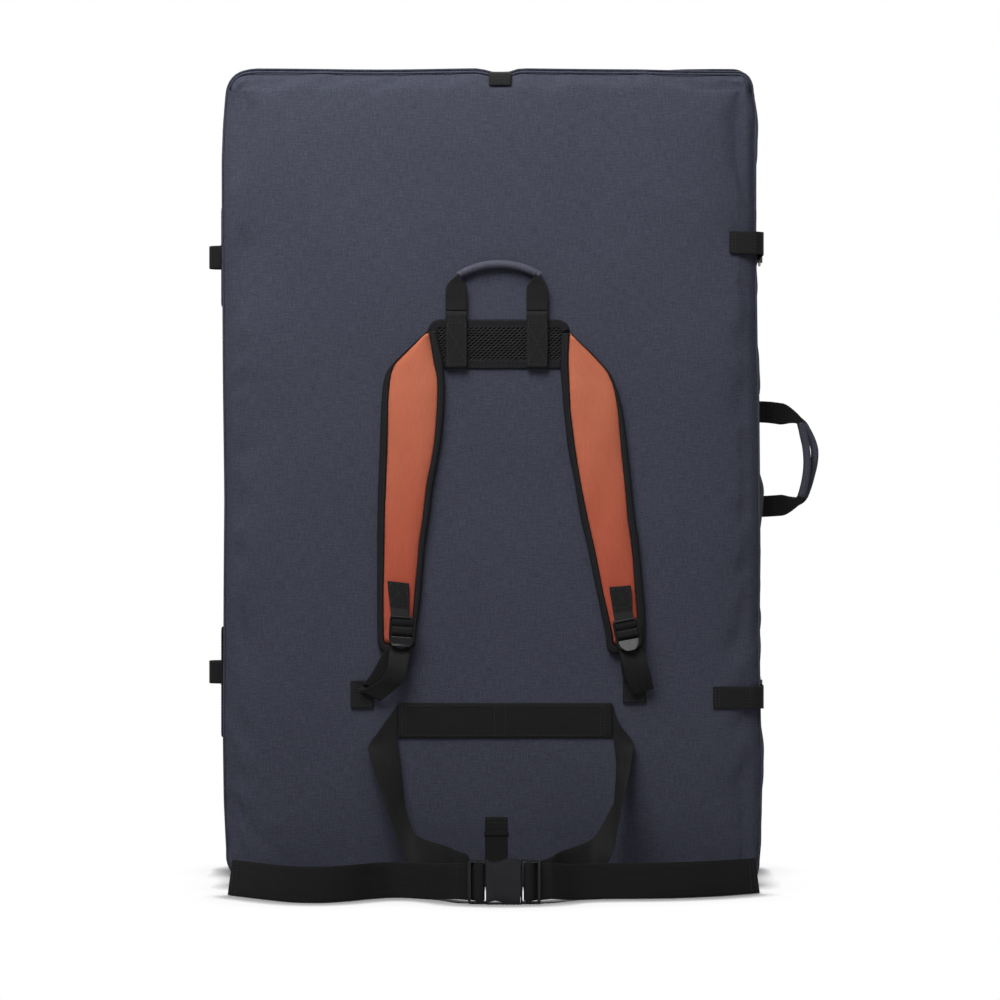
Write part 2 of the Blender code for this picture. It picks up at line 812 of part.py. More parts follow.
def hinge_side_patch(name, middle_z, height):
    """A fabric patch on the front half's hinge-side wall, under a lash loop."""
    frame = Frame((-PAD_WIDTH / 2 - FIT_GAP, 0, middle_z), (0, -1, 0), (0, 0, 1), (-1, 0, 0))
    outline = rounded_rectangle(PATCH_NEAR, PATCH_FAR, -height / 2, height / 2, FLAP_CORNER, steps=3)
    plate(name, frame, outline, 0, PATCH_THICKNESS, black_fabric())


def lash_loop(name, middle_z):
    """A webbing arch that stands out of its patch, with its opening along z."""
    middle_y = -(PATCH_NEAR + PATCH_FAR) / 2
    wall = -PAD_WIDTH / 2 - FIT_GAP - PATCH_THICKNESS
    frame = Frame((wall, middle_y, middle_z), (-1, 0, 0), (0, 1, 0), (0, 0, 1))
    lift = FIT_GAP + WEB_THICKNESS / 2
    path = [(lift, -LASH_HALF_SPAN - LASH_FOOT)]
    for i in range(LASH_STEPS + 1):
        turn = math.pi * i / LASH_STEPS
        rise = (LASH_REACH - lift) * math.sin(turn) ** 0.8 if 0 < i < LASH_STEPS else 0
        path.append((lift + rise, -LASH_HALF_SPAN * math.cos(turn)))
    path.append((lift, LASH_HALF_SPAN + LASH_FOOT))
    points = [frame.at(a, y) for a, y in path]
    flat_strap(name, points, frame.n, LASH_WIDTH, WEB_THICKNESS, black_webbing())


def handle_point(frame, half_span, reach, share):
    """A point of the superellipse that a grab handle follows, from one foot to the other."""
    turn = math.pi * share
    along, out = math.cos(turn), max(math.sin(turn), 0)
    power = 2 / HANDLE_POWER
    across = -half_span * math.copysign(abs(along) ** power, along)
    return frame.at(across, reach * out**power)


def sleeve_shares():
    """Where along the handle the sleeve's rings lie."""
    span = 1 - 2 * SLEEVE_START_SHARE
    return [SLEEVE_START_SHARE + span * i / SLEEVE_STEPS for i in range(SLEEVE_STEPS + 1)]


def handle_shares():
    """Where along the handle the webbing's rings lie: both legs and the sleeve's own."""
    return list(LEG_SHARES) + sleeve_shares() + [1 - s for s in reversed(LEG_SHARES)]


def handle_webbing(name, frame, half_span, reach):
    """Flat legs that fold into a narrow core where the sleeve holds them."""
    shares = handle_shares()
    widths, depths = [], []
    for share in shares:
        near = min(share, 1 - share)
        fold = np.clip((near - LEG_END_SHARE) / (LEG_SHARES[-1] - LEG_END_SHARE), 0, 1)
        widths.append(HANDLE_WEB_WIDTH + (CORE_WIDTH - HANDLE_WEB_WIDTH) * fold)
        depths.append(WEB_THICKNESS + (CORE_THICKNESS - WEB_THICKNESS) * fold)
    points = [handle_point(frame, half_span, reach, s) for s in shares]
    return flat_strap(name, points, frame.n, depths, widths, black_webbing())


def chamfered_section(half_a, half_b, corner):
    """Eight (a, b) points of a rectangle with its corners cut off."""
    quarter = [(half_a, half_b - corner), (half_a - corner, half_b)]
    upper = quarter + [(-a, b) for a, b in reversed(quarter)]
    return upper + [(-a, -b) for a, b in upper]


def handle_sleeve(name, frame, half_span, reach):
    """The fabric tube of the grip, with a bore that the folded webbing runs through."""
    path = [handle_point(frame, half_span, reach, s) for s in handle_shares()]
    first = len(LEG_SHARES)
    last = first + SLEEVE_STEPS + 1
    bore_in, bore_out = CORE_WIDTH / 2 + FIT_GAP, CORE_THICKNESS / 2 + FIT_GAP
    outer_in, outer_out = bore_in + SLEEVE_WALL, bore_out + SLEEVE_WALL
    bore = chamfered_section(bore_in, bore_out, FIT_GAP)
    skin = chamfered_section(outer_in, outer_out, SLEEVE_WALL)
    outer, inner = [], []
    for point, travel in list(zip(path, directions(path)))[first:last]:
        side = travel.cross(frame.n).normalized()
        outer.append([point + side * a + frame.n * b for a, b in skin])
        inner.append([point + side * a + frame.n * b for a, b in bore])
    loops = outer + list(reversed(inner))
    return add_object(name, rings_to_bmesh(loops, closed_path=True), navy_fabric())


def sleeve_half_depth():
    return CORE_THICKNESS / 2 + FIT_GAP + SLEEVE_WALL


def sleeve_half_width():
    return CORE_WIDTH / 2 + FIT_GAP + SLEEVE_WALL


def haul_plane():
    """The y of the haul handle, whose grip lies on the pad."""
    return -(HALF_DEPTH + 2 * FIT_GAP + sleeve_half_depth())


def haul_handle():
    """The grab handle over the yoke, and the sewn legs that carry it."""
    frame = Frame((HARNESS_X, haul_plane(), HAUL_ROOT_Z), (1, 0, 0), (0, 0, 1), (0, -1, 0))
    pivot = frame.at(0, 0, WEB_THICKNESS / 2 + FIT_GAP / 2)
    webbing = handle_webbing("haul_webbing", frame, HAUL_HALF_SPAN, HAUL_REACH)
    set_origin(webbing, pivot)
    sleeve = handle_sleeve("haul_grip", frame, HAUL_HALF_SPAN, HAUL_REACH)
    set_origin(sleeve, pivot)
    back = HALF_DEPTH + YOKE_TAPE_THICKNESS + 2 * FIT_GAP
    front = -haul_plane() + WEB_THICKNESS / 2
    for side, word in ((-1, "left"), (1, "right")):
        middle = HARNESS_X + side * HAUL_HALF_SPAN
        half = HANDLE_WEB_WIDTH / 2
        outline = rectangle(middle - half, middle + half, HAUL_LEG_BOTTOM_Z, HAUL_ROOT_Z - FIT_GAP)
        flat = Frame((0, 0, 0), (1, 0, 0), (0, 0, 1), (0, -1, 0))
        plate("haul_leg_" + word, flat, outline, back, front, black_webbing())


def carry_handles():
    """One grab handle for each half, side by side on the opening edge."""
    for side, word in ((-1, "front"), (1, "rear")):
        plane = side * CARRY_PLANE
        root = (PAD_WIDTH / 2 + FIT_GAP, plane, CARRY_Z)
        frame = Frame(root, (0, 0, 1), (1, 0, 0), (0, 1, 0))
        pivot = frame.at(0, WEB_THICKNESS / 2)
        webbing = handle_webbing(word + "_carry_webbing", frame, CARRY_HALF_SPAN, CARRY_REACH)
        set_origin(webbing, pivot)
        sleeve = handle_sleeve(word + "_carry_grip", frame, CARRY_HALF_SPAN, CARRY_REACH)
        set_origin(sleeve, pivot)


def yoke():
    """The mesh panel between the shoulder straps, in a frame of tape with a wide top."""
    flat = Frame((HARNESS_X, 0, 0), (1, 0, 0), (0, 0, 1), (0, -1, 0))
    back = HALF_DEPTH + FIT_GAP
    top_left = -YOKE_LEFT - YOKE_TAPE_OVERHANG_LEFT
    top_right = YOKE_RIGHT + YOKE_TAPE_OVERHANG_RIGHT
    step = YOKE_TOP_Z - YOKE_TAPE_HEIGHT
    outline = [
        (-YOKE_LEFT, YOKE_BOTTOM_Z),
        (YOKE_RIGHT, YOKE_BOTTOM_Z),
        (YOKE_RIGHT, step),
        (top_right, step),
        (top_right, YOKE_TOP_Z),
        (top_left, YOKE_TOP_Z),
        (top_left, step),
        (-YOKE_LEFT, step),
    ]
    tape = plate("yoke_tape_frame", flat, outline, back, back + YOKE_TAPE_THICKNESS, black_webbing())
    left, right = -YOKE_LEFT + YOKE_SIDE_TAPE, YOKE_RIGHT - YOKE_SIDE_TAPE
    low = YOKE_BOTTOM_Z + YOKE_TAPE_HEIGHT
    window = plate(
        "yoke_tape_window",
        flat,
        rectangle(left, right, low, step),
        back - CUT_OVERRUN,
        back + CUT_OVERRUN,
        black_webbing(),
    )
    cut(tape, window)
    gap = FIT_GAP
    mesh = rectangle(left + gap, right - gap, low + gap, step - gap)
    plate("yoke_mesh_panel", flat, mesh, back, back + YOKE_THICKNESS, black_mesh())


def strap_rows(side):
    """(z, centre x, half width) down a shoulder strap; side is -1 for the left one."""
    shares = STRAP_LEFT_SHARES if side < 0 else STRAP_RIGHT_SHARES
    rows = []
    for drop, centre, width in shares:
        rows.append(
            (
                STRAP_TOP_Z - drop * STRAP_DROP,
                HARNESS_X + side * centre * STRAP_SPREAD,
                width * STRAP_MAX_WIDTH / 2,
            )
        )
    return rows


def strap_end_z():
    """The height of the straps' lower ends, which their hardware is placed from."""
    return STRAP_TOP_Z - STRAP_DROP


def strap_tip_x(side):
    share = STRAP_TIP_LEFT_SHARE if side < 0 else STRAP_TIP_RIGHT_SHARE
    return HARNESS_X + side * share * STRAP_SPREAD


def strap_outline(side):
    """The strap's edge as (x, z) points: down the outer side, up the inner one, to the tip."""
    rows = strap_rows(side)
    end_z = strap_end_z()
    last_x, last_half = rows[-1][1], rows[-1][2]
    end = last_half * STRAP_END_WIDTH_SHARE
    outer = [(x + side * half, z) for z, x, half in rows]
    inner = [(x - side * half, z) for z, x, half in reversed(rows)]
    bottom = [(last_x + side * end, end_z), (last_x - side * end, end_z)]
    return outer + bottom + inner + [(strap_tip_x(side), STRAP_TOP_Z)]


def inset_outline(outline, insets):
    """Move each edge of a closed outline inwards by its own inset and join them again."""
    count = len(outline)
    area = sum(
        outline[i - 1][0] * outline[i][1] - outline[i][0] * outline[i - 1][1] for i in range(count)
    )
    sense = math.copysign(1, area)
    lines = []
    for i in range(count):
        start, end = Vector(outline[i]), Vector(outline[(i + 1) % count])
        travel = (end - start).normalized()
        lines.append((start + Vector((-travel.y, travel.x)) * sense * insets[i], travel))
    points = []
    for i in range(count):
        (a, run_a), (b, run_b) = lines[i - 1], lines[i]
        turn = run_a.x * run_b.y - run_a.y * run_b.x
        if math.isclose(turn, 0, abs_tol=NEARLY_STRAIGHT_SHARE):
            points.append((b.x, b.y))
            continue
        gap = b - a
        reach = (gap.x * run_b.y - gap.y * run_b.x) / turn
        corner = a + run_a * reach
        points.append((corner.x, corner.y))
    return points


def strap_pad(name, side):
    """The padded body inside its binding, with softened front and back edges."""
    outline = strap_outline(side)
    margin = BINDING_WIDTH + FIT_GAP
    back = -(HALF_DEPTH + FIT_GAP)
    rings = []
    for soft, rise in (
        (PAD_SOFT_EDGE, 0),
        (0, PAD_SOFT_EDGE),
        (0, STRAP_THICKNESS - PAD_SOFT_EDGE),
        (PAD_SOFT_EDGE, STRAP_THICKNESS),
    ):
        insets = [margin + soft] * (len(outline) - 1) + [soft]
        rings.append([Vector((x, back - rise, z)) for x, z in inset_outline(outline, insets)])
    return add_object(name, rings_to_bmesh(rings), orange_fabric())


def strap_binding(name, side):
    """The folded tape round the strap's edges, from one end of the slanted top to the tip."""
    outline = strap_outline(side)
    insets = [BINDING_WIDTH / 2] * (len(outline) - 1) + [0]
    depth = -(HALF_DEPTH + FIT_GAP + BINDING_THICKNESS / 2)
    points = [Vector((x, depth, z)) for x, z in inset_outline(outline, insets)]
    half, rise = BINDING_THICKNESS / 2, BINDING_WIDTH / 2
    section = chamfered_section(half, rise, BINDING_CORNER)
    return swept(name, points, Vector((0, 1, 0)), section, black_webbing())


def swept(name, points, across, section, finish):
    """Carry a section of (across, up) offsets along points."""
    rings = []
    for point, travel in zip(points, directions(points)):
        side = (across - travel * across.dot(travel)).normalized()
        up = travel.cross(side)
        rings.append([point + side * a + up * b for a, b in section])
    return add_object(name, rings_to_bmesh(rings), finish)


def lock_frame(side):
    """Origin on the lock's top bar; u across, v down the lock, n out of the harness."""
    if side < 0:
        x, above, tilt = LOCK_LEFT_X, LOCK_LEFT_ABOVE, LOCK_LEFT_TILT
    else:
        x, above, tilt = LOCK_RIGHT_X, LOCK_RIGHT_ABOVE, LOCK_RIGHT_TILT
    lean = math.radians(tilt) * side
    standoff = LOCK_THICKNESS / 2 + 2 * WEB_GAP + FIT_GAP
    y = -(HALF_DEPTH + FIT_GAP + STRAP_THICKNESS + standoff)
    return Frame(
        (HARNESS_X + side * x, y, strap_end_z() + above),
        (math.cos(lean), 0, math.sin(lean)),
        (math.sin(lean), 0, -math.cos(lean)),
        (0, -1, 0),
    )


def lock_stations():
    """Distances down the lock: the edges of its windows, then the tongue's end."""
    upper_start = LOCK_TOP_BAR / 2
    upper_end = upper_start + LOCK_UPPER_WINDOW
    lower_start = upper_end + LOCK_MIDDLE_BAR
    lower_end = lower_start + LOCK_LOWER_WINDOW
    return upper_start, upper_end, lower_start, lower_end, lower_end + LOCK_TONGUE


def ladder_lock(name, side):
    """A buckle of three bars in two rails, whose last bar curls out as a thumb tongue."""
    frame = lock_frame(side)
    upper_start, upper_end, lower_start, lower_end, tip = lock_stations()
    bend = lower_end + LOCK_TONGUE / 3
    late = lower_end + LOCK_TONGUE * 2 / 3
    profile = [
        (-LOCK_TOP_BAR / 2, 0, 1.0),
        (lower_end, 0, 1.0),
        (bend, LOCK_TONGUE_CURL * 0.12, 0.94),
        (late, LOCK_TONGUE_CURL * 0.45, 0.84),
        (tip, LOCK_TONGUE_CURL, 0.62),
    ]
    points = [frame.at(0, down, out) for down, out, _ in profile]
    widths = [LOCK_WIDTH * share for _, _, share in profile]
    lock = flat_strap(name, points, frame.u, widths, LOCK_THICKNESS, moulded_plastic())
    half = LOCK_WIDTH / 2 - LOCK_RAIL
    for number, (low, high) in enumerate(((upper_start, upper_end), (lower_start, lower_end))):
        window = plate(
            f"{name}_window_{number}",
            frame,
            rectangle(-half, half, low, high),
            -CUT_OVERRUN,
            CUT_OVERRUN,
            moulded_plastic(),
        )
        cut(lock, window)
    set_origin(lock, frame.at(0, 0))
    return lock


def strap_tab(name, side):
    """The webbing tab sewn on the strap, looped round the lock's top bar."""
    frame = lock_frame(side)
    wrap = LOCK_THICKNESS / 2 + LOCK_LOOP_CLEARANCE + WEB_THICKNESS / 2
    first = -(LOCK_THICKNESS / 2 + 2 * WEB_GAP - WEB_THICKNESS / 2)
    second = first + WEB_GAP
    path = [(-TAB_LENGTH, second), (-TAB_LENGTH / 4, second), (-wrap, wrap * 0.55)]
    for i in range(7):
        turn = math.radians(90 - 30 * i)
        path.append((wrap * math.cos(turn), wrap * math.sin(turn)))
    path += [(-wrap, first), (-TAB_LENGTH + WEB_GAP, first)]
    points = [frame.at(0, down, out) for down, out in path]
    return flat_strap(name, points, frame.u, TAB_WIDTH, WEB_THICKNESS, black_webbing())


def ladder_wrap(half_depth, end_low, end_high, mid_low, mid_high):
    """(along, out) points of webbing threaded over a ladder's middle bar.

    It comes in behind the end bar, crosses the window, covers the middle bar and goes
    back behind both, one webbing further in.
    """
    first = half_depth + FIT_GAP + WEB_THICKNESS / 2
    second = first + WEB_GAP
    ease = 2 * FIT_GAP
    path = [(end_low, -first), (end_high + ease, -first), (mid_low - ease, first), (mid_high, first)]
    for i in range(1, 7):
        turn = math.radians(90 - 30 * i)
        path.append((mid_high + first * math.cos(turn), first * math.sin(turn)))
    path += [(end_high, -second), (end_low, -second)]
    return path


def adjuster_webbing(name, side):
    """From the hanging tail, over the lock's middle bar and down to the anchor patch."""
    frame = lock_frame(side)
    upper_start, upper_end, lower_start, lower_end, tip = lock_stations()
    wrap = ladder_wrap(LOCK_THICKNESS / 2, -tip, -lower_end, -lower_start, -upper_end)
    threaded = [frame.at(0, -along, out) for along, out in wrap]
    tail_x = TAIL_LEFT_X if side < 0 else TAIL_RIGHT_X
    tail_z = strap_end_z() - (TAIL_LEFT_BELOW if side < 0 else TAIL_RIGHT_BELOW)
    anchor_x, anchor_z = anchor_place(side)
    across = frame.u * ADJUSTER_WIDTH / 2
    tail_end = Vector((HARNESS_X + side * tail_x, -(HALF_DEPTH + TAIL_STANDOFF), tail_z))
    tail_lead = threaded[0] + frame.v * LOAD_LEAD
    bulge = (tail_end + tail_lead) / 2 + frame.n * LOAD_SLACK / 2
    tail = smooth_through([tail_end, bulge, tail_lead], 3)
    pairs = [(p - across, p + across) for p in tail + threaded]
    level = Vector((ADJUSTER_WIDTH / 2, 0, 0))
    top = anchor_z + ANCHOR_HEIGHT / 2 + 2 * FIT_GAP
    anchor = Vector((HARNESS_X + side * anchor_x, -(HALF_DEPTH + FIT_GAP + ANCHOR_THICKNESS / 2), top))
    above = anchor + Vector((0, 0, LOAD_LEAD / 2))
    load_lead = threaded[-1] + frame.v * LOAD_LEAD / 2
    left = [load_lead - across, above - level, anchor - level]
    right = [load_lead + across, above + level, anchor + level]
    pairs += zip(smooth_through(left, 3), smooth_through(right, 3))
    return edge_strap(name, pairs, WEB_THICKNESS, black_webbing())


def anchor_place(side):
    """How far out from the harness's middle an anchor patch lies, and its height."""
    if side < 0:
        return ANCHOR_LEFT_X, strap_end_z() - ANCHOR_LEFT_BELOW
    return ANCHOR_RIGHT_X, strap_end_z() - ANCHOR_RIGHT_BELOW


def strap_anchor(name, side):
    """The doubled patch that holds the adjuster's lower end on the pad."""
    x, z = anchor_place(side)
    flat = Frame((HARNESS_X + side * x, 0, z), (1, 0, 0), (0, 0, 1), (0, -1, 0))
    half, rise = ANCHOR_WIDTH / 2, ANCHOR_HEIGHT / 2
    back = HALF_DEPTH + FIT_GAP
    plate(name, flat, rectangle(-half, half, -rise, rise), back, back + ANCHOR_THICKNESS, black_webbing())


def shoulder_straps():
    """Both straps, with their bindings, tabs, ladder locks, adjusters and anchors."""
    for side, word in ((-1, "left"), (1, "right")):
        pivot = (HARNESS_X, -(HALF_DEPTH + FIT_GAP + YOKE_TAPE_THICKNESS), STRAP_TOP_Z)
        for piece in (
            strap_pad(word + "_strap_pad", side),
            strap_binding(word + "_strap_binding", side),
            strap_tab(word + "_strap_tab", side),
        ):
            set_origin(piece, pivot)
        ladder_lock(word + "_ladder_lock", side)
        adjuster_webbing(word + "_adjuster_webbing", side)
        strap_anchor(word + "_strap_anchor", side)


def belt_band():
    """The sewn band on the pad that both sides of the waist belt come from."""
    flat = Frame((HARNESS_X, 0, BELT_BAND_Z), (1, 0, 0), (0, 0, 1), (0, -1, 0))
    back = HALF_DEPTH + FIT_GAP
    plate(
        "belt_anchor_band",
        flat,
        rectangle(-BELT_BAND_LEFT, BELT_BAND_RIGHT, -BELT_WIDTH / 2, BELT_WIDTH / 2),
        back,
        back + 2 * WEB_THICKNESS,
        black_webbing(),
    )


def edge_strap(name, pairs, thickness, finish):
    """A strap lofted between two edges; each pair is its inner and outer edge point."""
    middles = [(a + b) / 2 for a, b in pairs]
    rings = []
    for (inner, outer), travel in zip(pairs, directions(middles)):
        rise = travel.cross(outer - inner).normalized() * thickness / 2
        rings.append([inner - rise, outer - rise, outer + rise, inner + rise])
    return add_object(name, rings_to_bmesh(rings), finish)


def buckle_middle():
    """The middle of the side-release buckle, which stands on the floor."""
    return Vector((BUCKLE_X, -(HALF_DEPTH + BELT_FORWARD), BUCKLE_HALF_HEIGHT + BELT_FLOOR_GAP))


def buckle_stations(side):
    """Distances from the buckle's middle to the edges of a ladder's windows and end."""
    inner = BUCKLE_SHELL_HALF_LENGTH + FIT_GAP
    if side > 0:
        inner += MALE_FLANGE
    mid_high = inner + BUCKLE_WINDOW_B
    mid_low = mid_high + BUCKLE_MIDDLE_BAR
    end_high = mid_low + BUCKLE_WINDOW_A
    return inner, mid_high, mid_low, end_high, end_high + BUCKLE_END_BAR


def belt_webbing(name, side):
    """One side of the belt: band, fall to the floor, through the buckle, then its tail."""
    rows = BELT_LEFT_SHARES if side < 0 else BELT_RIGHT_SHARES
    inner, outer = [], []
    for row in rows:
        for edge, (x, forward, height) in ((inner, row[:3]), (outer, row[3:])):
            place = (
                HARNESS_X + side * x * BELT_SPREAD,
                -(HALF_DEPTH + forward * BELT_FORWARD),
                height * BELT_BAND_Z,
            )
            edge.append(Vector(place))
    middle = buckle_middle()
    rise = Vector((0, 0, BELT_WIDTH / 2))
    threaded = belt_threading(side)
    lead = threaded[-1] + Vector((side * BELT_LAST_RUN, 0, 0))
    inner = smooth_through(inner + [lead + rise], 2)
    outer = smooth_through(outer + [lead - rise], 2)
    pairs = list(zip(inner, outer))
    for point in reversed(threaded):
        pairs.append((point + rise, point - rise))
    for point in belt_tail_route(side, middle.z, threaded[0]):
        pairs.append((point + rise, point - rise))
    return edge_strap(name, pairs, WEB_THICKNESS, black_webbing())


def belt_threading(side):
    """The belt's middle line through one ladder of the buckle, from tail to load."""
    middle = buckle_middle()
    _, mid_high, mid_low, end_high, end_low = buckle_stations(side)
    wrap = ladder_wrap(BUCKLE_PLATE_HALF_DEPTH, -end_low, -end_high, -mid_low, -mid_high)
    return [middle + Vector((-side * along, -out, 0)) for along, out in wrap]


def belt_tail_route(side, height, start):
    """The tail's middle line, on edge along the floor, from the buckle outwards."""
    rows = TAIL_LEFT_SHARES if side < 0 else TAIL_RIGHT_SHARES
    length = BELT_TAIL_LEFT if side < 0 else BELT_TAIL_RIGHT
    floor_z = BELT_WIDTH / 2 + BELT_FLOOR_GAP
    route = [start + Vector((side * BELT_LAST_RUN, 0, 0))]
    route[0].z = height
    for x, forward in rows:
        place = (HARNESS_X + side * x * length, -(HALF_DEPTH + forward * BELT_FORWARD), floor_z)
        route.append(Vector(place))
    return smooth_through(route, 2)


def buckle_frame():
    """u along the buckle, v up, n forward, from its middle."""
    return Frame(buckle_middle(), (1, 0, 0), (0, 0, 1), (0, -1, 0))


def block_cutter(name, frame, low_u, high_u, low_v, high_v, low_n, high_n):
    return plate(name, frame, rectangle(low_u, high_u, low_v, high_v), low_n, high_n, moulded_plastic())


def ladder_windows(target, frame, side):
    """Cut the two windows that leave a ladder's middle and end bars."""
    inner, mid_high, mid_low, end_high, _ = buckle_stations(side)
    half = BUCKLE_HALF_HEIGHT - BUCKLE_SIDE_RAIL
    for word, near, far in (("b", inner, mid_high), ("a", mid_low, end_high)):
        low, high = sorted((side * near, side * far))
        name = f"{target.name}_window_{word}"
        cut(target, block_cutter(name, frame, low, high, -half, half, -CUT_OVERRUN, CUT_OVERRUN))


def buckle_female():
    """The shell: a socket with side windows, and a thin ladder behind it."""
    frame = buckle_frame()
    end = buckle_stations(-1)[-1]
    shell = BUCKLE_SHELL_HALF_LENGTH
    outline = rounded_rectangle(
        -end, shell, -BUCKLE_HALF_HEIGHT, BUCKLE_HALF_HEIGHT, BUCKLE_CORNER, steps=4
    )
    depth = BUCKLE_SHELL_HALF_DEPTH
    female = plate("buckle_female", frame, outline, -depth, depth, moulded_plastic())
    thin = BUCKLE_PLATE_HALF_DEPTH
    reach = BUCKLE_HALF_HEIGHT + CUT_OVERRUN
    for word, low, high in (("front", thin, depth + CUT_OVERRUN), ("back", -depth - CUT_OVERRUN, -thin)):
        step = block_cutter(
            f"buckle_female_step_{word}", frame, -end - CUT_OVERRUN, -shell, -reach, reach, low, high
        )
        cut(female, step)
    ladder_windows(female, frame, -1)
    cavity = block_cutter(
        "buckle_female_cavity",
        frame,
        -shell + CAVITY_BACK_WALL,
        shell + CUT_OVERRUN,
        -CAVITY_HALF_HEIGHT,
        CAVITY_HALF_HEIGHT,
        -CAVITY_HALF_DEPTH,
        CAVITY_HALF_DEPTH,
    )
    cut(female, cavity)
    latch = latch_u()
    for word, low, high in (
        ("lower", -reach, -CAVITY_HALF_HEIGHT + FIT_GAP),
        ("upper", CAVITY_HALF_HEIGHT - FIT_GAP, reach),
    ):
        window = block_cutter(
            f"buckle_female_side_{word}",
            frame,
            -shell + WINDOW_END_MARGIN,
            latch + FIT_GAP,
            low,
            high,
            -CAVITY_HALF_DEPTH,
            CAVITY_HALF_DEPTH,
        )
        cut(female, window)
    for word, turn in (("lower", -1), ("upper", 1)):
        notch = thumb_notch(f"buckle_female_notch_{word}", frame, turn)
        cut(female, notch)
    return female


def thumb_notch(name, frame, turn):
    """A shallow scoop in the shell's edge that bares the latch arm for the thumb."""
    middle = (latch_u() - BUCKLE_SHELL_HALF_LENGTH + WINDOW_END_MARGIN) / 2
    edge = BUCKLE_HALF_HEIGHT
    outline = []
    for i in range(9):
        share = -1 + 2 * i / 8
        rise = NOTCH_DEPTH * (1 - share**2)
        outline.append((middle + NOTCH_HALF_WIDTH * share, turn * (edge - rise)))
    outline.append((middle + NOTCH_HALF_WIDTH, turn * (edge + CUT_OVERRUN)))
    outline.append((middle - NOTCH_HALF_WIDTH, turn * (edge + CUT_OVERRUN)))
    return plate(name, frame, outline, -CUT_OVERRUN, CUT_OVERRUN, moulded_plastic())


def arm_root_u():
    """Where the latch arms leave the male part's crossbar."""
    return BUCKLE_SHELL_HALF_LENGTH - MALE_CROSSBAR


def latch_u():
    """Where the latch arms' ledges meet the ends of the shell's side windows."""
    return arm_root_u() - LATCH_SETBACK


def buckle_male():
    """The plug: a ladder, a crossbar inside the mouth and the guide between the arms."""
    frame = buckle_frame()
    end = buckle_stations(1)[-1]
    mouth = BUCKLE_SHELL_HALF_LENGTH + FIT_GAP
    inside = CAVITY_HALF_HEIGHT - FIT_GAP
    root = arm_root_u()
    guide_end = -BUCKLE_SHELL_HALF_LENGTH + CAVITY_BACK_WALL + FIT_GAP
    outer = BUCKLE_HALF_HEIGHT
    tip = GUIDE_HALF_HEIGHT - GUIDE_TIP_TAPER
    upper = [
        (end, outer),
        (mouth, outer),
        (mouth, inside),
        (root, inside),
        (root, GUIDE_HALF_HEIGHT),
        (guide_end, tip),
    ]
    outline = [(u, -v) for u, v in upper]
    outline = list(reversed(upper)) + outline
    thin = BUCKLE_PLATE_HALF_DEPTH
    male = plate("buckle_male", frame, outline, -thin, thin, moulded_plastic())
    ladder_windows(male, frame, 1)
    set_origin(male, buckle_middle())
    return male


def latch_arm(word, turn):
    """A springy arm with a latch ledge and a thumb pad; turn is 1 above, -1 below."""
    frame = buckle_frame()
    root = arm_root_u() - ARM_ROOT_GAP
    latch = latch_u()
    tip = root - ARM_LENGTH
    low = ARM_ROOT_INNER
    high = low + ARM_THICKNESS
    ledge = CAVITY_HALF_HEIGHT + LATCH_RISE
    crest = CAVITY_HALF_HEIGHT + THUMB_RISE / 2
    outline = [
        (root, low),
        (root, high),
        (latch, high + FIT_GAP),
        (latch, ledge),
        (latch - LATCH_RISE, crest),
        ((latch + tip) / 2, ledge),
        (tip + GUIDE_TIP_TAPER, high + FIT_GAP),
        (tip, high - ARM_THICKNESS / 2),
        (tip + LATCH_RISE, low),
    ]
    points = [(u, turn * v) for u, v in outline]
    arm = plate(f"buckle_latch_arm_{word}", frame, points, -ARM_HALF_DEPTH, ARM_HALF_DEPTH, moulded_plastic())
    set_origin(arm, frame.at(root, turn * (low + high) / 2))
    return arm


def waist_belt():
    """The belt, its tails on the floor and the side-release buckle that joins them."""
    belt_band()
    pivot = (HARNESS_X, -(HALF_DEPTH + FIT_GAP), BELT_BAND_Z + BELT_WIDTH / 2)
    for side, word in ((-1, "left"), (1, "right")):
        set_origin(belt_webbing("belt_webbing_" + word, side), pivot)
    set_origin(buckle_female(), pivot)
    buckle_male()
    latch_arm("upper", 1)
    latch_arm("lower", -1)


def pad_halves():
    """Both covers with their foam, flaps and the strip that hinges them."""
    channel = channel_cutter("closure_channel", 0)
    wall_channel = channel_cutter("closure_channel_wall", COVER_WALL)
    foam_channel = channel_cutter("closure_channel_foam", COVER_WALL + FIT_GAP)
    for side, word in ((-1, "front"), (1, "rear")):
        cover(word + "_cover", side, channel, wall_channel)
        foam_layers(word, side, foam_channel)
        foam_flap(word + "_foam_flap", side)
    fold_hinge_strip()
    hinge_side_patch("hinge_side_patch_upper", PATCH_UPPER_Z, PATCH_UPPER_HEIGHT)
    hinge_side_patch("hinge_side_patch_lower", PATCH_LOWER_Z, PATCH_LOWER_HEIGHT)
    lash_loop("lash_loop_upper", LASH_UPPER_Z)
    lash_loop("lash_loop_lower", LASH_LOWER_Z)


def centre_on_floor():
    """Move everything so that the origin is under the middle of the whole object."""
    left = -PAD_WIDTH / 2 - FIT_GAP - PATCH_THICKNESS - LASH_REACH - WEB_THICKNESS / 2
    right = PAD_WIDTH / 2 + FIT_GAP + CARRY_REACH + sleeve_half_width()
    near = -HALF_DEPTH - BELT_FORWARD - BUCKLE_SHELL_HALF_DEPTH
    shift = Vector((-(left + right) / 2, -(near + HALF_DEPTH) / 2, 0))
    for obj in bpy.data.objects:
        obj.location += shift


def main():
    clear_scene()
    pad_halves()
    closures()
    yoke()
    haul_handle()
    carry_handles()
    shoulder_straps()
    waist_belt()
    centre_on_floor()


main()
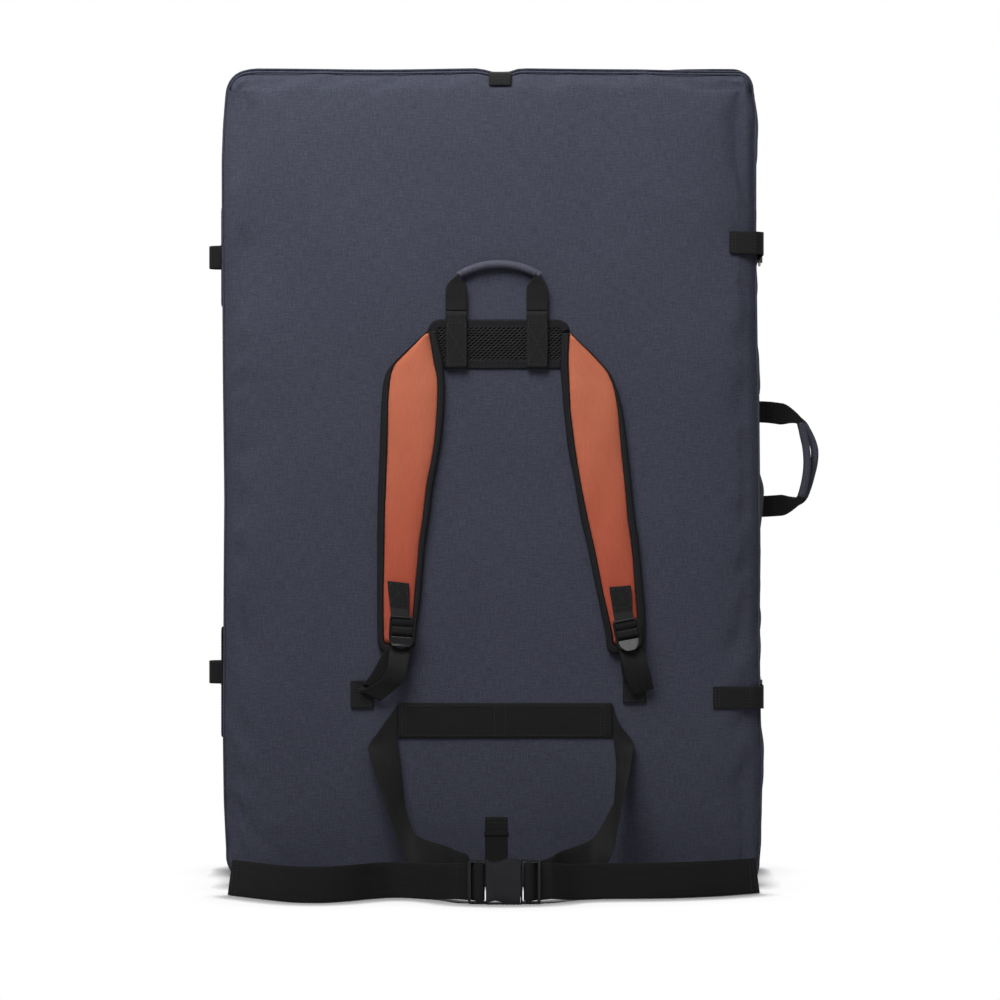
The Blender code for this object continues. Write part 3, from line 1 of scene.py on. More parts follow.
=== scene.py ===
"""A folded bouldering crash pad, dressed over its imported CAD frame.

Every shape is worked out with numpy in the pad's own frame: x across the folded pad from
its middle, y from the harness side backwards with the fold plane at 0, z up from the
floor, in metres. ``PLACE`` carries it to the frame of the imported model.
"""

from __future__ import annotations

import logging
import math

from dataclasses import dataclass
from enum import Enum
from typing import Sequence

import bmesh
import bpy
import numpy as np
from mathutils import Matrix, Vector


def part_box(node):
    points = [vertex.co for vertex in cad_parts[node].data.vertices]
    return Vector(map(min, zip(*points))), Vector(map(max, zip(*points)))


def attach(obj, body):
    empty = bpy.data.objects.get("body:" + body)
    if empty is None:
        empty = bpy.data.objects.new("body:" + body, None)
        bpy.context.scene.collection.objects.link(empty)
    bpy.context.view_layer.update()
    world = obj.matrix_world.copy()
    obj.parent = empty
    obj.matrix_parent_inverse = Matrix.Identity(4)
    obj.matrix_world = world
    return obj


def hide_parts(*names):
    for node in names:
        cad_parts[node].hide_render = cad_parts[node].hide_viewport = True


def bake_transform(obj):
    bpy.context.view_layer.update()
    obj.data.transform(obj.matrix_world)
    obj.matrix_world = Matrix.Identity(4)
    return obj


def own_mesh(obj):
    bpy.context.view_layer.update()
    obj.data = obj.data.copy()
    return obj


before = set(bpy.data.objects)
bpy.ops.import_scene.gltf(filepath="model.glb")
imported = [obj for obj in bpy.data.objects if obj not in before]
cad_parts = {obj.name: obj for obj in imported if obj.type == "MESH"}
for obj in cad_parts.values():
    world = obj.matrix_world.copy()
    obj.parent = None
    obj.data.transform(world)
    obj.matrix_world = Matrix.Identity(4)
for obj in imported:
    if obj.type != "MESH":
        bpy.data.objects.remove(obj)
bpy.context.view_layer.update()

Array = np.ndarray
Triple = tuple[float, float, float]

LOG = logging.getLogger("crash_pad")

# From the pad's frame to the model's; the gap left between pieces; a webbing's thickness;
# one half's depth; the harness's middle; the heights of the two closures on the side.
PLACE = np.array([-0.0255, 0.0681, 0.0])
FIT = 0.0003
WEB = 0.0014
HALF_DEPTH = 0.100
HARNESS_X = 0.008
UPPER_Z, LOWER_Z = 0.7035, 0.2075

# The outline's unevenness: heights and how far each side moves to the right there, then
# places across and how far the top edge stands up there.
LEFT_EDGE = (
    (0.0, 0.034, 0.050, 0.094, 0.182, 0.300, 0.423, 0.576, 0.700, 0.795, 0.832, 0.858, 0.877, 0.890),
    (0.0030, 0.0028, 0.0020, 0.0002, -0.0009, 0.0, 0.0008, -0.0009, -0.0018, -0.0020, -0.0007, 0.0013, 0.0030,
     0.0042),
)
RIGHT_EDGE = (
    (0.0, 0.028, 0.050, 0.094, 0.138, 0.182, 0.270, 0.357, 0.532, 0.598, 0.700, 0.780, 0.845, 0.856, 0.864,
     0.890),
    (-0.0040, -0.0030, -0.0010, 0.0002, 0.0012, -0.0010, -0.0024, -0.0014, -0.0026, -0.0047, -0.0060, -0.0061,
     -0.0058, -0.0070, -0.0088, -0.0092),
)
TOP_EDGE = ((-0.290, -0.270, -0.262, 0.160, 0.210, 0.290), (0.0, 0.0035, 0.0052, 0.0052, 0.0040, 0.0022))


# Shader expressions


class Value:
    """A number that varies over a surface; sums of values add Math nodes."""

    def __init__(self, tree: Tree, socket: bpy.types.NodeSocket) -> None:
        """Wrap a node's output.

        Args:
            tree: The tree that the socket belongs to.
            socket: The output that carries the number.
        """
        self.tree = tree
        self.socket = socket

    def _math(self, operation: str, *others: Value | float) -> Value:
        """Add a Math node that takes this value first."""
        inputs = {i: other for i, other in enumerate((self, *others))}
        return self.tree.add("ShaderNodeMath", {"operation": operation}, inputs)

    def __add__(self, other: Value | float) -> Value:
        """Sum."""
        return self._math("ADD", other)

    def __sub__(self, other: Value | float) -> Value:
        """Difference."""
        return self._math("SUBTRACT", other)

    def __rsub__(self, other: float) -> Value:
        """Plain number minus this value."""
        return self.tree.add("ShaderNodeMath", {"operation": "SUBTRACT"}, {0: other, 1: self})

    def __mul__(self, other: Value | float) -> Value:
        """Product."""
        return self._math("MULTIPLY", other)

    def __pow__(self, other: Value | float) -> Value:
        """Power."""
        return self._math("POWER", other)

    def __abs__(self) -> Value:
        """Size without its sign."""
        return self._math("ABSOLUTE")

    __radd__, __rmul__ = __add__, __mul__

    def sine(self) -> Value:
        """Sine of the value in radians."""
        return self._math("SINE")

    def wave(self, pitch: float) -> Value:
        """A 0 to 1 wave that repeats each pitch: half of one plus the sine of 2 pi v / pitch."""
        return (self * (2 * math.pi / pitch)).sine() * 0.5 + 0.5

    def clamped(self, low: float = 0.0, high: float = 1.0) -> Value:
        """The value kept between two limits."""
        return self._math("MAXIMUM", low)._math("MINIMUM", high)


class Tree:
    """The nodes of a material or a world, with one method that adds any kind of them."""

    def __init__(self, name: str, world: bool = False) -> None:
        """Make an empty material or world.

        Args:
            name: Its name.
            world: Whether it is a world.
        """
        self.owner = (bpy.data.worlds if world else bpy.data.materials).new(name)
        self.owner.use_nodes = True
        self.nodes = self.owner.node_tree.nodes
        self.links = self.owner.node_tree.links
        self.nodes.clear()
        self.output = self.nodes.new("ShaderNodeOutputWorld" if world else "ShaderNodeOutputMaterial")

    def put(
        self,
        kind: str,
        settings: dict[str, object] | None = None,
        inputs: dict[int | str, object] | None = None,
    ) -> bpy.types.Node:
        """Add a node, set its options and fill its sockets.

        Args:
            kind: Blender's name for the node type.
            settings: Options by name.
            inputs: Plain values, values or sockets, by the socket's number or name.

        Returns:
            The new node.
        """
        node = self.nodes.new(kind)
        for name, setting in (settings or {}).items():
            setattr(node, name, setting)
        for key, given in (inputs or {}).items():
            socket = node.inputs[key]
            given = given.socket if isinstance(given, Value) else given
            if isinstance(given, bpy.types.NodeSocket):
                self.links.new(given, socket)
            else:
                socket.default_value = given
        return node

    def add(
        self,
        kind: str,
        settings: dict[str, object] | None = None,
        inputs: dict[int | str, object] | None = None,
        output: int | str = 0,
    ) -> Value:
        """Add a node as put does and wrap one of its outputs.

        Args:
            kind: Blender's name for the node type.
            settings: Options by name.
            inputs: What goes in, by socket.
            output: Which output to wrap.

        Returns:
            The wrapped output.
        """
        return Value(self, self.put(kind, settings, inputs).outputs[output])

    def cloth_axes(self) -> tuple[bpy.types.NodeSocket, Value, Value]:
        """The piece's own cloth map in metres.

        Returns:
            The whole vector, the place along and the place across.
        """
        source = self.put("ShaderNodeUVMap", {"uv_map": "cloth"}).outputs[0]
        split = self.put("ShaderNodeSeparateXYZ", None, {0: source})
        return source, Value(self, split.outputs[0]), Value(self, split.outputs[1])

    def place(self) -> bpy.types.NodeSocket:
        """Object coordinates, which are metres because no piece is scaled."""
        return self.put("ShaderNodeTexCoord").outputs["Object"]

    def stretched(self, source: bpy.types.NodeSocket, scale: Sequence[float]) -> bpy.types.NodeSocket:
        """A vector scaled along each axis."""
        return self.put("ShaderNodeMapping", None, {"Vector": source, "Scale": scale}).outputs[0]

    def noise(self, source: bpy.types.NodeSocket, scale: float, detail: float = 2.0) -> Value:
        """Soft noise around one half, with scale cells to the metre."""
        inputs = {"Vector": source, "Scale": scale, "Detail": detail}
        return self.add("ShaderNodeTexNoise", None, inputs, "Fac")

    def blend(self, share: Value, low: Sequence[float], high: Sequence[float]) -> bpy.types.NodeSocket:
        """Mix two colours.

        Args:
            share: How much of the second colour there is, from 0 to 1.
            low: The first colour.
            high: The second colour.

        Returns:
            The mixed colour.
        """
        node = self.put("ShaderNodeMix", {"data_type": "RGBA"}, {0: share})
        node.inputs[6].default_value = (*low, 1.0)
        node.inputs[7].default_value = (*high, 1.0)
        return node.outputs[2]

    def bump(self, height: Value, depth: float) -> bpy.types.NodeSocket:
        """A normal bent by a height from 0 to 1, depth metres tall."""
        inputs = {"Height": height, "Distance": depth, "Strength": 1.0}
        return self.put("ShaderNodeBump", None, inputs).outputs[0]

    def finish(self, plain: dict[str, object], varying: dict[str, object]) -> bpy.types.Material:
        """Close the tree with a Principled shader.

        Args:
            plain: Values that are the same all over.
            varying: Sockets or values for the inputs that change over the surface.

        Returns:
            The finished material.
        """
        self.close(self.put("ShaderNodeBsdfPrincipled", None, {**plain, **varying}))
        return self.owner

    def close(self, shader: bpy.types.Node) -> None:
        """Send a shader to the output."""
        self.links.new(shader.outputs[0], self.output.inputs[0])

    def shown(self) -> Value:
        """1 for rays from the camera, in gloss and through gaps, otherwise 0.

        Returns:
            The sum of the three ray flags, kept to 1.
        """
        path = self.put("ShaderNodeLightPath")
        names = ("Is Camera Ray", "Is Glossy Ray", "Is Transmission Ray")
        camera, gloss, gap = (Value(self, path.outputs[name]) for name in names)
        return (camera + gloss + gap).clamped()


# Finishes


@dataclass(frozen=True)
class CoatedCanvas:
    """Plain-woven polyester with heathered yarns, as on the covers and the grips."""

    name: str
    dark: Triple
    light: Triple
    yarn: float = 0.0011
    relief: float = 0.00009
    roughness: float = 0.72
    sheen: float = 0.02

    def build(self) -> bpy.types.Material:
        """Two sets of streaky yarns cross, and their crowns give the weave its relief.

        Streaks are noise stretched twelvefold along the yarn; the weave is the product of
        two waves a yarn apart.
        
        Returns:
            The material.
        """
        tree = Tree(self.name)
        source, along, across = tree.cloth_axes()
        warp = tree.noise(tree.stretched(source, (900.0, 75.0, 1.0)), 1.0, 1.0)
        weft = tree.noise(tree.stretched(source, (75.0, 900.0, 1.0)), 1.0, 1.0)
        fleck = tree.noise(source, 620.0, 1.0)
        cloud = tree.noise(source, 9.0, 3.0)
        share = (warp * 0.9 + weft * 0.9 + fleck * 1.3 + cloud * 0.35 - 1.4).clamped()
        weave = along.wave(self.yarn) * across.wave(self.yarn)
        height = weave * 0.55 + fleck * 0.45
        worn = (cloud * 0.10 + fleck * 0.06 + self.roughness - 0.08).clamped()
        return tree.finish(
            {"Sheen Weight": self.sheen, "Sheen Roughness": 0.45, "Specular IOR Level": 0.07},
            {
                "Base Color": tree.blend(share, self.dark, self.light),
                "Roughness": worn,
                "Normal": tree.bump(height, self.relief),
            },
        )


class Rib(Enum):
    """How a tape's surface is woven."""

    TWILL = "twill"
    PLAIN = "plain"
    GROSGRAIN = "grosgrain"


@dataclass(frozen=True)
class Tape:
    """Webbing or binding tape with its ribs along or across it."""

    name: str
    dark: Triple
    light: Triple
    rib: Rib
    pitch: float = 0.0016
    relief: float = 0.00016
    roughness: float = 0.62

    def build(self) -> bpy.types.Material:
        """Twill is a wave of along plus the folded across; the others run straight.

        Returns:
            The material.
        """
        tree = Tree(self.name)
        source, along, across = tree.cloth_axes()
        if self.rib is Rib.TWILL:
            slope = abs((across * (1 / 0.0065)).sine()) * 0.0022
            ribs = (along + slope).wave(self.pitch)
            cords = across.wave(self.pitch * 1.25)
            height = ribs * 0.5 + cords * 0.5
        elif self.rib is Rib.PLAIN:
            height = along.wave(self.pitch) * across.wave(self.pitch)
        else:
            height = along.wave(self.pitch)
        fuzz = tree.noise(source, 1500.0, 2.0)
        streak = tree.noise(tree.stretched(source, (25.0, 500.0, 1.0)), 1.0, 2.0)
        share = (height * 0.45 + fuzz * 0.5 + streak * 0.5 - 0.35).clamped()
        return tree.finish(
            {"Specular IOR Level": 0.05},
            {
                "Base Color": tree.blend(share, self.dark, self.light),
                "Roughness": (fuzz * 0.16 + self.roughness - 0.08).clamped(),
                "Normal": tree.bump(height * 0.75 + fuzz * 0.25, self.relief),
            },
        )


@dataclass(frozen=True)
class KnitFace:
    """Brushed knit on the shoulder straps, with faint vertical wales and a painted highlight that makes it
    paler at the top.
    """

    name: str
    dark: Triple
    light: Triple
    highlight_dark: Triple
    highlight_pale: Triple

    def build(self) -> bpy.types.Material:
        """Wales are a wave across, broken by fleck noise; a painted highlight pales it with height, z / 0.24
        - 1.3.

        Returns:
            The material.
        """
        tree = Tree(self.name)
        height = tree.add("ShaderNodeSeparateXYZ", None, {0: tree.place()}, 2)
        # Painted highlight: paler, less red colours towards the top, where the strap faces the light.
        painted_highlight = (height * (1 / 0.24) - 1.3).clamped()
        source, along, across = tree.cloth_axes()
        fleck = tree.noise(source, 800.0, 2.0)
        streak = tree.noise(tree.stretched(source, (60.0, 700.0, 1.0)), 1.0, 1.0)
        cloud = tree.noise(source, 24.0, 3.0)
        wales = across.wave(0.0013) * along.wave(0.0016)
        share = (fleck * 0.9 + streak * 0.6 + cloud * 0.5 - 0.5).clamped()
        return tree.finish(
            {"Sheen Weight": 0.03, "Sheen Roughness": 0.5, "Specular IOR Level": 0.06},
            {
                "Base Color": tree.put(
                    "ShaderNodeMix",
                    {"data_type": "RGBA"},
                    {
                        0: painted_highlight,
                        6: tree.blend(share, self.dark, self.light),
                        7: tree.blend(share, self.highlight_dark, self.highlight_pale),
                    },
                ).outputs[2],
                "Roughness": (cloud * 0.12 + fleck * 0.1 + 0.66).clamped(),
                "Normal": tree.bump(wales * 0.6 + fleck * 0.4, 0.00012),
            },
        )


@dataclass(frozen=True)
class MouldedPlastic:
    """Moulded nylon of the buckle and locks: fine sparkle and rubbed patches."""

    name: str
    dark: Triple
    light: Triple
    roughness: float

    def build(self) -> bpy.types.Material:
        """Grain is fine noise; rubbing is larger noise that lightens and smooths.

        Returns:
            The material.
        """
        tree = Tree(self.name)
        source = tree.place()
        grain = tree.noise(source, 2600.0, 2.0)
        rub = tree.noise(source, 140.0, 3.0)
        share = (rub * 1.4 - 0.4 + grain * 0.2).clamped()
        return tree.finish(
            {"Specular IOR Level": 0.16, "IOR": 1.5},
            {
                "Base Color": tree.blend(share, self.dark, self.light),
                "Roughness": (self.roughness + grain * 0.12 - rub * 0.10).clamped(0.05, 1.0),
                "Normal": tree.bump(grain, 0.00002),
            },
        )


@dataclass(frozen=True)
class BrushedMetal:
    """Satin metal of the closure hooks, with fine scratches."""

    name: str
    colour: Triple

    def build(self) -> bpy.types.Material:
        """Scratches are noise stretched forty times along the piece.

        Returns:
            The material.
        """
        tree = Tree(self.name)
        source = tree.place()
        scratch = tree.noise(tree.stretched(source, (3000.0, 75.0, 3000.0)), 1.0, 2.0)
        rub = tree.noise(source, 90.0, 3.0)
        darker = tuple(0.72 * c for c in self.colour)
        return tree.finish(
            {"Specular IOR Level": 0.5},
            {
                "Base Color": tree.blend(rub, darker, self.colour),
                "Metallic": (rub * 0.1 + 0.92).clamped(),
                "Roughness": (scratch * 0.2 + rub * 0.1 + 0.2).clamped(),
                "Normal": tree.bump(scratch, 0.00003),
            },
        )


@dataclass(frozen=True)
class Foam:
    """Cut foam with its cells open or closed."""

    name: str
    dark: Triple
    light: Triple
    cells: float

    def build(self) -> bpy.types.Material:
        """Cells are Voronoi distances; the walls between them stand proud.

        Returns:
            The material.
        """
        tree = Tree(self.name)
        source = tree.place()
        cell = tree.add("ShaderNodeTexVoronoi", None, {"Vector": source, "Scale": self.cells}, 0)
        cloud = tree.noise(source, 20.0, 3.0)
        share = (cell * 0.8 + cloud * 0.4).clamped()
        return tree.finish(
            {"Specular IOR Level": 0.2},
            {
                "Base Color": tree.blend(share, self.dark, self.light),
                "Roughness": (cloud * 0.1 + 0.85).clamped(),
                "Normal": tree.bump(cell, 0.0003),
            },
        )


class Finish(Enum):
    """Every finish on the pad, by the cloth or material that has it."""

    NAVY = CoatedCanvas("navy_canvas", (0.040, 0.042, 0.062), (0.072, 0.076, 0.104))
    # Painted light: the grips' canvas is the navy made paler and more purple, to make up for the side light
    # that leaves them dark.
    GRIP = CoatedCanvas("navy_grip_canvas_painted_light", (0.062, 0.062, 0.086), (0.112, 0.112, 0.148))
    WALL = CoatedCanvas("black_wall_canvas", (0.009, 0.009, 0.011), (0.022, 0.022, 0.026))
    LANDING = CoatedCanvas("black_landing_canvas", (0.008, 0.008, 0.010), (0.018, 0.018, 0.021))
    PATCH = CoatedCanvas("black_patch_canvas", (0.006, 0.006, 0.007), (0.016, 0.016, 0.018))
    WEBBING = Tape("twill_webbing", (0.0085, 0.0085, 0.0090), (0.0260, 0.0260, 0.0270), Rib.TWILL)
    BELT = Tape("black_belt_webbing", (0.0100, 0.0100, 0.0104), (0.024, 0.024, 0.025), Rib.PLAIN, 0.0012)
    BINDING = Tape("black_binding", (0.008, 0.008, 0.009), (0.024, 0.024, 0.026), Rib.GROSGRAIN, 0.0011)
    THREAD = Tape("black_thread", (0.030, 0.030, 0.031), (0.075, 0.075, 0.078), Rib.GROSGRAIN, 0.0005)
    MESH = Tape("black_air_mesh", (0.012, 0.012, 0.013), (0.055, 0.055, 0.058), Rib.PLAIN, 0.0006)
    # Painted shade: the near-black floors of the air mesh's holes.
    HOLES = Tape("mesh_hole_painted_shade", (0.003, 0.003, 0.003), (0.008, 0.008, 0.008), Rib.PLAIN, 0.0006)
    SEAM = Tape("navy_seam", (0.012, 0.012, 0.020), (0.030, 0.030, 0.044), Rib.GROSGRAIN, 0.0010)
    ORANGE = KnitFace(
        "orange_knit",
        (0.365, 0.066, 0.037),
        (0.490, 0.104, 0.064),
        # The paler pair is a painted highlight for the tops of the straps.
        highlight_dark=(0.425, 0.114, 0.060),
        highlight_pale=(0.570, 0.180, 0.103),
    )
    PLASTIC = MouldedPlastic("buckle_nylon", (0.010, 0.010, 0.012), (0.018, 0.018, 0.022), 0.24)
    LOCK = MouldedPlastic("moulded_lock_plastic", (0.003, 0.003, 0.004), (0.008, 0.008, 0.009), 0.20)
    METAL = BrushedMetal("satin_metal", (0.55, 0.56, 0.57))
    FIRM = Foam("closed_cell_foam", (0.06, 0.06, 0.065), (0.12, 0.12, 0.13), 900.0)
    SOFT = Foam("open_cell_foam", (0.45, 0.43, 0.34), (0.68, 0.66, 0.56), 600.0)

    def material(self) -> bpy.types.Material:
        """The finish as a material, made the first time it is asked for."""
        return bpy.data.materials.get(self.value.name) or self.value.build()


# Surfaces


def unit(vectors: Array) -> Array:
    """Each vector over its own length."""
    return vectors / np.maximum(np.linalg.norm(vectors, axis=-1, keepdims=True), 1e-12)


def arc_length(points: Array) -> Array:
    """Distance along a path at each of its points: the running sum of its steps."""
    steps = np.linalg.norm(np.diff(points, axis=0), axis=1)
    return np.concatenate([[0.0], np.cumsum(steps)])


def together(*coordinates: Array | float) -> Array:
    """Several coordinates spread to one shape and joined along a last axis."""
    return np.stack(np.broadcast_arrays(*coordinates), -1)


def smoothstep(low: float, high: float, values: Array) -> Array:
    """0 below low, 1 above high and 3t^2 - 2t^3 between them."""
    share = np.clip((values - low) / (high - low), 0.0, 1.0)
    return share * share * (3 - 2 * share)


def through(points: Sequence | Array, steps: int) -> Array:
    """A Catmull-Rom curve through points.

    Each span is half of 2b + (c - a)t + (2a - 5b + 4c - d)t^2 + (3b - a - 3c + d)t^3.

    Args:
        points: The points, in any number of dimensions.
        steps: How many points each span gives.

    Returns:
        The points of the curve, with the last given one at its end.
    """
    given = np.asarray(points, float)
    ends = np.vstack([2 * given[0] - given[1], given, 2 * given[-1] - given[-2]])
    a, b, c, d = (ends[i : len(ends) - 3 + i, None] for i in range(4))
    t = (np.arange(steps) / steps)[None, :, None]
    made = 0.5 * (2 * b + (c - a) * t + (2 * a - 5 * b + 4 * c - d) * t**2 + (3 * b - a - 3 * c + d) * t**3)
    return np.vstack([made.reshape(-1, given.shape[1]), given[-1]])


def evenly(points: Array, count: int, by: Array | None = None) -> Array:
    """Points at equal distances along a path.

    Args:
        points: The path, or several values for each of its points.
        count: How many points to give.
        by: The path whose length sets the spacing, when it isn't points.

    Returns:
        The values at count places, each read off by linear interpolation.
    """
    length = arc_length(points if by is None else by)
    places = np.linspace(0.0, length[-1], count)
    return np.stack([np.interp(places, length, column) for column in points.T], axis=1)


@dataclass
class Patch:
    """A surface on a grid of points, rows along it and columns across or round it."""

    points: Array
    cloth: Array
    finish: Finish
    wrap: bool = False
    caps: bool = False

    def faces(self, start: int, cloth_start: int) -> tuple[list, list]:
        """Quads between neighbouring rows and columns, and a face over each open end.

        Args:
            start: The number of this patch's first vertex.
            cloth_start: The number of its first place in the cloth map.

        Returns:
            The faces, and for each the places of its corners in the cloth map.
        """
        rows, columns = self.points.shape[:2]
        wide = self.cloth.shape[1]
        i, j = np.meshgrid(np.arange(rows - 1), np.arange(columns - (not self.wrap)), indexing="ij")
        ring = (j + 1) % columns
        here, there = i * columns, (i + 1) * columns
        quads = np.stack([here + j, here + ring, there + ring, there + j], -1)
        here, there = i * wide + j, (i + 1) * wide + j
        corners = np.stack([here, here + 1, there + 1, there], -1)
        quads = (quads.reshape(-1, 4) + start).tolist()
        corners = (corners.reshape(-1, 4) + cloth_start).tolist()
        if self.caps:
            first, last = np.arange(columns)[::-1], (rows - 1) * columns + np.arange(columns)
            quads += [(first + start).tolist(), (last + start).tolist()]
            ends = np.arange(columns)[::-1], (rows - 1) * wide + np.arange(columns)
            corners += [(end + cloth_start).tolist() for end in ends]
        return quads, corners


def placed(name: str, data: bpy.types.ID) -> bpy.types.Object:
    """A new object in the scene that shows the data.

    Args:
        name: The object's name.
        data: Its mesh, light or camera.

    Returns:
        The object.
    """
    made = bpy.data.objects.new(name, data)
    bpy.context.scene.collection.objects.link(made)
    return made


def make_piece(
    name: str, patches: Sequence[Patch], weld: float = 0.0, closed: bool = True
) -> bpy.types.Object:
    """One mesh object from several patches, with a material and a cloth map for each.

    Args:
        name: The piece's name.
        patches: The surfaces, in the pad's own frame.
        weld: How near two vertices are when they become one, or 0 to keep all.
        closed: Whether the surfaces close on themselves, so that outwards is known.

    Returns:
        The object, at the origin, with its place in its mesh.
    """
    faces, corners, slots = [], [], []
    start = cloth_start = 0
    finishes = list(dict.fromkeys(patch.finish for patch in patches))
    for patch in patches:
        made, places = patch.faces(start, cloth_start)
        faces += made
        corners += places
        slots += [finishes.index(patch.finish)] * len(made)
        start += patch.points.shape[0] * patch.points.shape[1]
        cloth_start += patch.cloth.shape[0] * patch.cloth.shape[1]
    vertices = np.concatenate([patch.points.reshape(-1, 3) for patch in patches]) + PLACE
    cloth = np.concatenate([patch.cloth.reshape(-1, 2) for patch in patches])
    mesh = bpy.data.meshes.new(name)
    mesh.from_pydata(vertices.tolist(), [], faces)
    layer = mesh.uv_layers.new(name="cloth")
    layer.data.foreach_set("uv", cloth[np.concatenate(corners)].ravel().astype(np.float32))
    mesh.polygons.foreach_set("material_index", np.array(slots, np.int32))
    mesh.shade_smooth()
    for finish in finishes:
        mesh.materials.append(finish.material())
    shape = bmesh.new()
    shape.from_mesh(mesh)
    if weld:
        bmesh.ops.remove_doubles(shape, verts=shape.verts, dist=weld)
    if closed:
        bmesh.ops.recalc_face_normals(shape, faces=shape.faces)
    shape.to_mesh(mesh)
    shape.free()
    return placed(name, mesh)


def node_box(node: str) -> tuple[Array, Array]:
    """The low and high corner of a CAD node's box in the pad's own frame."""
    low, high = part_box(node)
    return np.array(low) - PLACE, np.array(high) - PLACE


def dress(piece: bpy.types.Object, body: str, slot: str, *nodes: str) -> bpy.types.Object:
    """Let a piece move with a body and stand for its CAD nodes.

    Args:
        piece: The finished piece.
        body: The CAD body that carries it.
        slot: The record's material slot that its finish belongs to; not used.
        nodes: The CAD nodes that it replaces.

    Returns:
        The piece.
    """
    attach(piece, body)
    if nodes:
        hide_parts(*nodes)
    LOG.info("%s rides on %s, %d faces", piece.name, body, len(piece.data.polygons))
    return piece


def subdivide(piece: bpy.types.Object) -> None:
    """Add one level of Subdivision Surface that keeps the cloth map's own shape.

    Args:
        piece: The piece to smooth.
    """
    smooth = piece.modifiers.new("Smooth", "SUBSURF")
    smooth.levels = smooth.render_levels = 1
    smooth.uv_smooth = "PRESERVE_BOUNDARIES"


def carried(
    name: str, node: str, finish: Finish, bevel: float, segments: int = 2
) -> bpy.types.Object:
    """A rigid CAD node as a piece of its own, its loose triangles joined and its edges rounded.

    Args:
        name: The new piece's name.
        node: The CAD node.
        finish: What it is made of.
        bevel: How wide its rounded edges are.
        segments: How many faces round an edge.

    Returns:
        The piece, which stands where the node does.
    """
    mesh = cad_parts[node].data.copy()
    mesh.name = name
    mesh.materials.clear()
    mesh.materials.append(finish.material())
    shape = bmesh.new()
    shape.from_mesh(mesh)
    bmesh.ops.remove_doubles(shape, verts=shape.verts, dist=1e-6)
    bmesh.ops.dissolve_limit(shape, angle_limit=math.radians(1), verts=shape.verts, edges=shape.edges)
    shape.to_mesh(mesh)
    shape.free()
    mesh.shade_smooth()
    piece = placed(name, mesh)
    soft = piece.modifiers.new("Edges", "BEVEL")
    soft.width = bevel
    soft.segments = segments
    soft.limit_method = "ANGLE"
    soft.angle_limit = math.radians(30)
    soft.use_clamp_overlap = True
    soft.harden_normals = True
    return piece


def web_section(share: float, columns: int = 9) -> tuple[Array, Array]:
    """A webbing's section as a closed loop of (across, out), both from -1 to 1.

    Each edge is half an ellipse whose width is the given share of the half width.

    Args:
        share: The rounded edge's share of the half width.
        columns: How many points lie on each flat face.

    Returns:
        The places across and out.
    """
    turn = np.linspace(0, np.pi / 2, 4)[1:-1]
    flat = np.linspace(-(1 - share), 1 - share, columns)
    edge_w = 1 - share + share * np.sin(turn)
    edge_h = np.cos(turn)
    across = np.concatenate([flat, edge_w, [1.0], edge_w[::-1], flat[::-1], -edge_w, [-1.0], -edge_w[::-1]])
    out = np.concatenate(
        [np.ones(columns), edge_h, [0.0], -edge_h[::-1], -np.ones(columns), -edge_h, [0.0], edge_h[::-1]]
    )
    return across, out


def ribbon(
    inner: Array,
    outer: Array,
    finish: Finish,
    thickness: float | Array = WEB,
    columns: int = 9,
) -> Patch:
    """Webbing between two edges, its section carried from pair to pair.

    A point is the middle plus half the width times its place across, plus half the
    thickness times its place out along the cross product of the path and the width.

    Args:
        inner: The points of one edge.
        outer: The points of the other edge.
        finish: What it is made of.
        thickness: One thickness, or one for each pair.
        columns: How many points lie on each face.

    Returns:
        The closed surface.
    """
    middle, wide = (inner + outer) / 2, outer - inner
    width = np.linalg.norm(wide, axis=1)
    out = unit(np.cross(unit(np.gradient(middle, axis=0)), wide))
    deep = np.broadcast_to(np.asarray(thickness, float), width.shape)
    share = float(np.clip(np.mean(deep) / np.mean(width), 0.02, 0.5))
    across, rise = web_section(share, columns)
    points = (
        middle[:, None]
        + wide[:, None] * across[None, :, None] / 2
        + out[:, None] * (rise[None, :] * deep[:, None])[..., None] / 2
    )
    length = arc_length(middle)
    loop = np.concatenate([across, [across[0] - 0.02]])
    cloth = together(length[:, None], loop[None, :] * width[:, None] / 2)
    return Patch(points, cloth, finish, wrap=True, caps=True)


def strip(
    path: Array, across: Array | Sequence[float], width: float | Array, finish: Finish, **options: object
) -> Patch:
    """Webbing along a middle line, its width square to the line.

    Args:
        path: The middle line.
        across: The way the width runs, one or one for each point.
        width: One width, or one for each point.
        finish: What it is made of.
        options: What ribbon takes besides.

    Returns:
        The closed surface.
    """
    travel = unit(np.gradient(path, axis=0))
    side = np.broadcast_to(np.asarray(across, float), path.shape)
    side = unit(side - travel * np.sum(side * travel, axis=1, keepdims=True))
    half = side * (np.broadcast_to(np.asarray(width, float), len(path)) / 2)[:, None]
    return ribbon(path - half, path + half, finish, **options)


def tube(
    path: Array, up: Sequence[float], wide: Array, tall: Array, finish: Finish, columns: int = 20
) -> Patch:
    """A padded tube: an ellipse carried along a path.

    Args:
        path: The middle line.
        up: A direction that the first half width lies in.
        wide: Half widths along up, one for each point.
        tall: Half widths square to up, one for each point.
        finish: What it is made of.
        columns: How many points go round.

    Returns:
        The closed surface.
    """
    travel = unit(np.gradient(path, axis=0))
    side = np.broadcast_to(np.asarray(up, float), path.shape)
    side = unit(side - travel * np.sum(side * travel, axis=1, keepdims=True))
    other = np.cross(travel, side)
    turn = np.linspace(0, 2 * np.pi, columns, endpoint=False)
    points = (
        path[:, None]
        + side[:, None] * (np.cos(turn)[None] * wide[:, None])[..., None]
        + other[:, None] * (np.sin(turn)[None] * tall[:, None])[..., None]
    )
    girth = np.linspace(0, float(np.mean(wide + tall)) * np.pi, columns + 1)
    cloth = together(arc_length(path)[:, None], girth[None, :])
    return Patch(points, cloth, finish, wrap=True, caps=True)


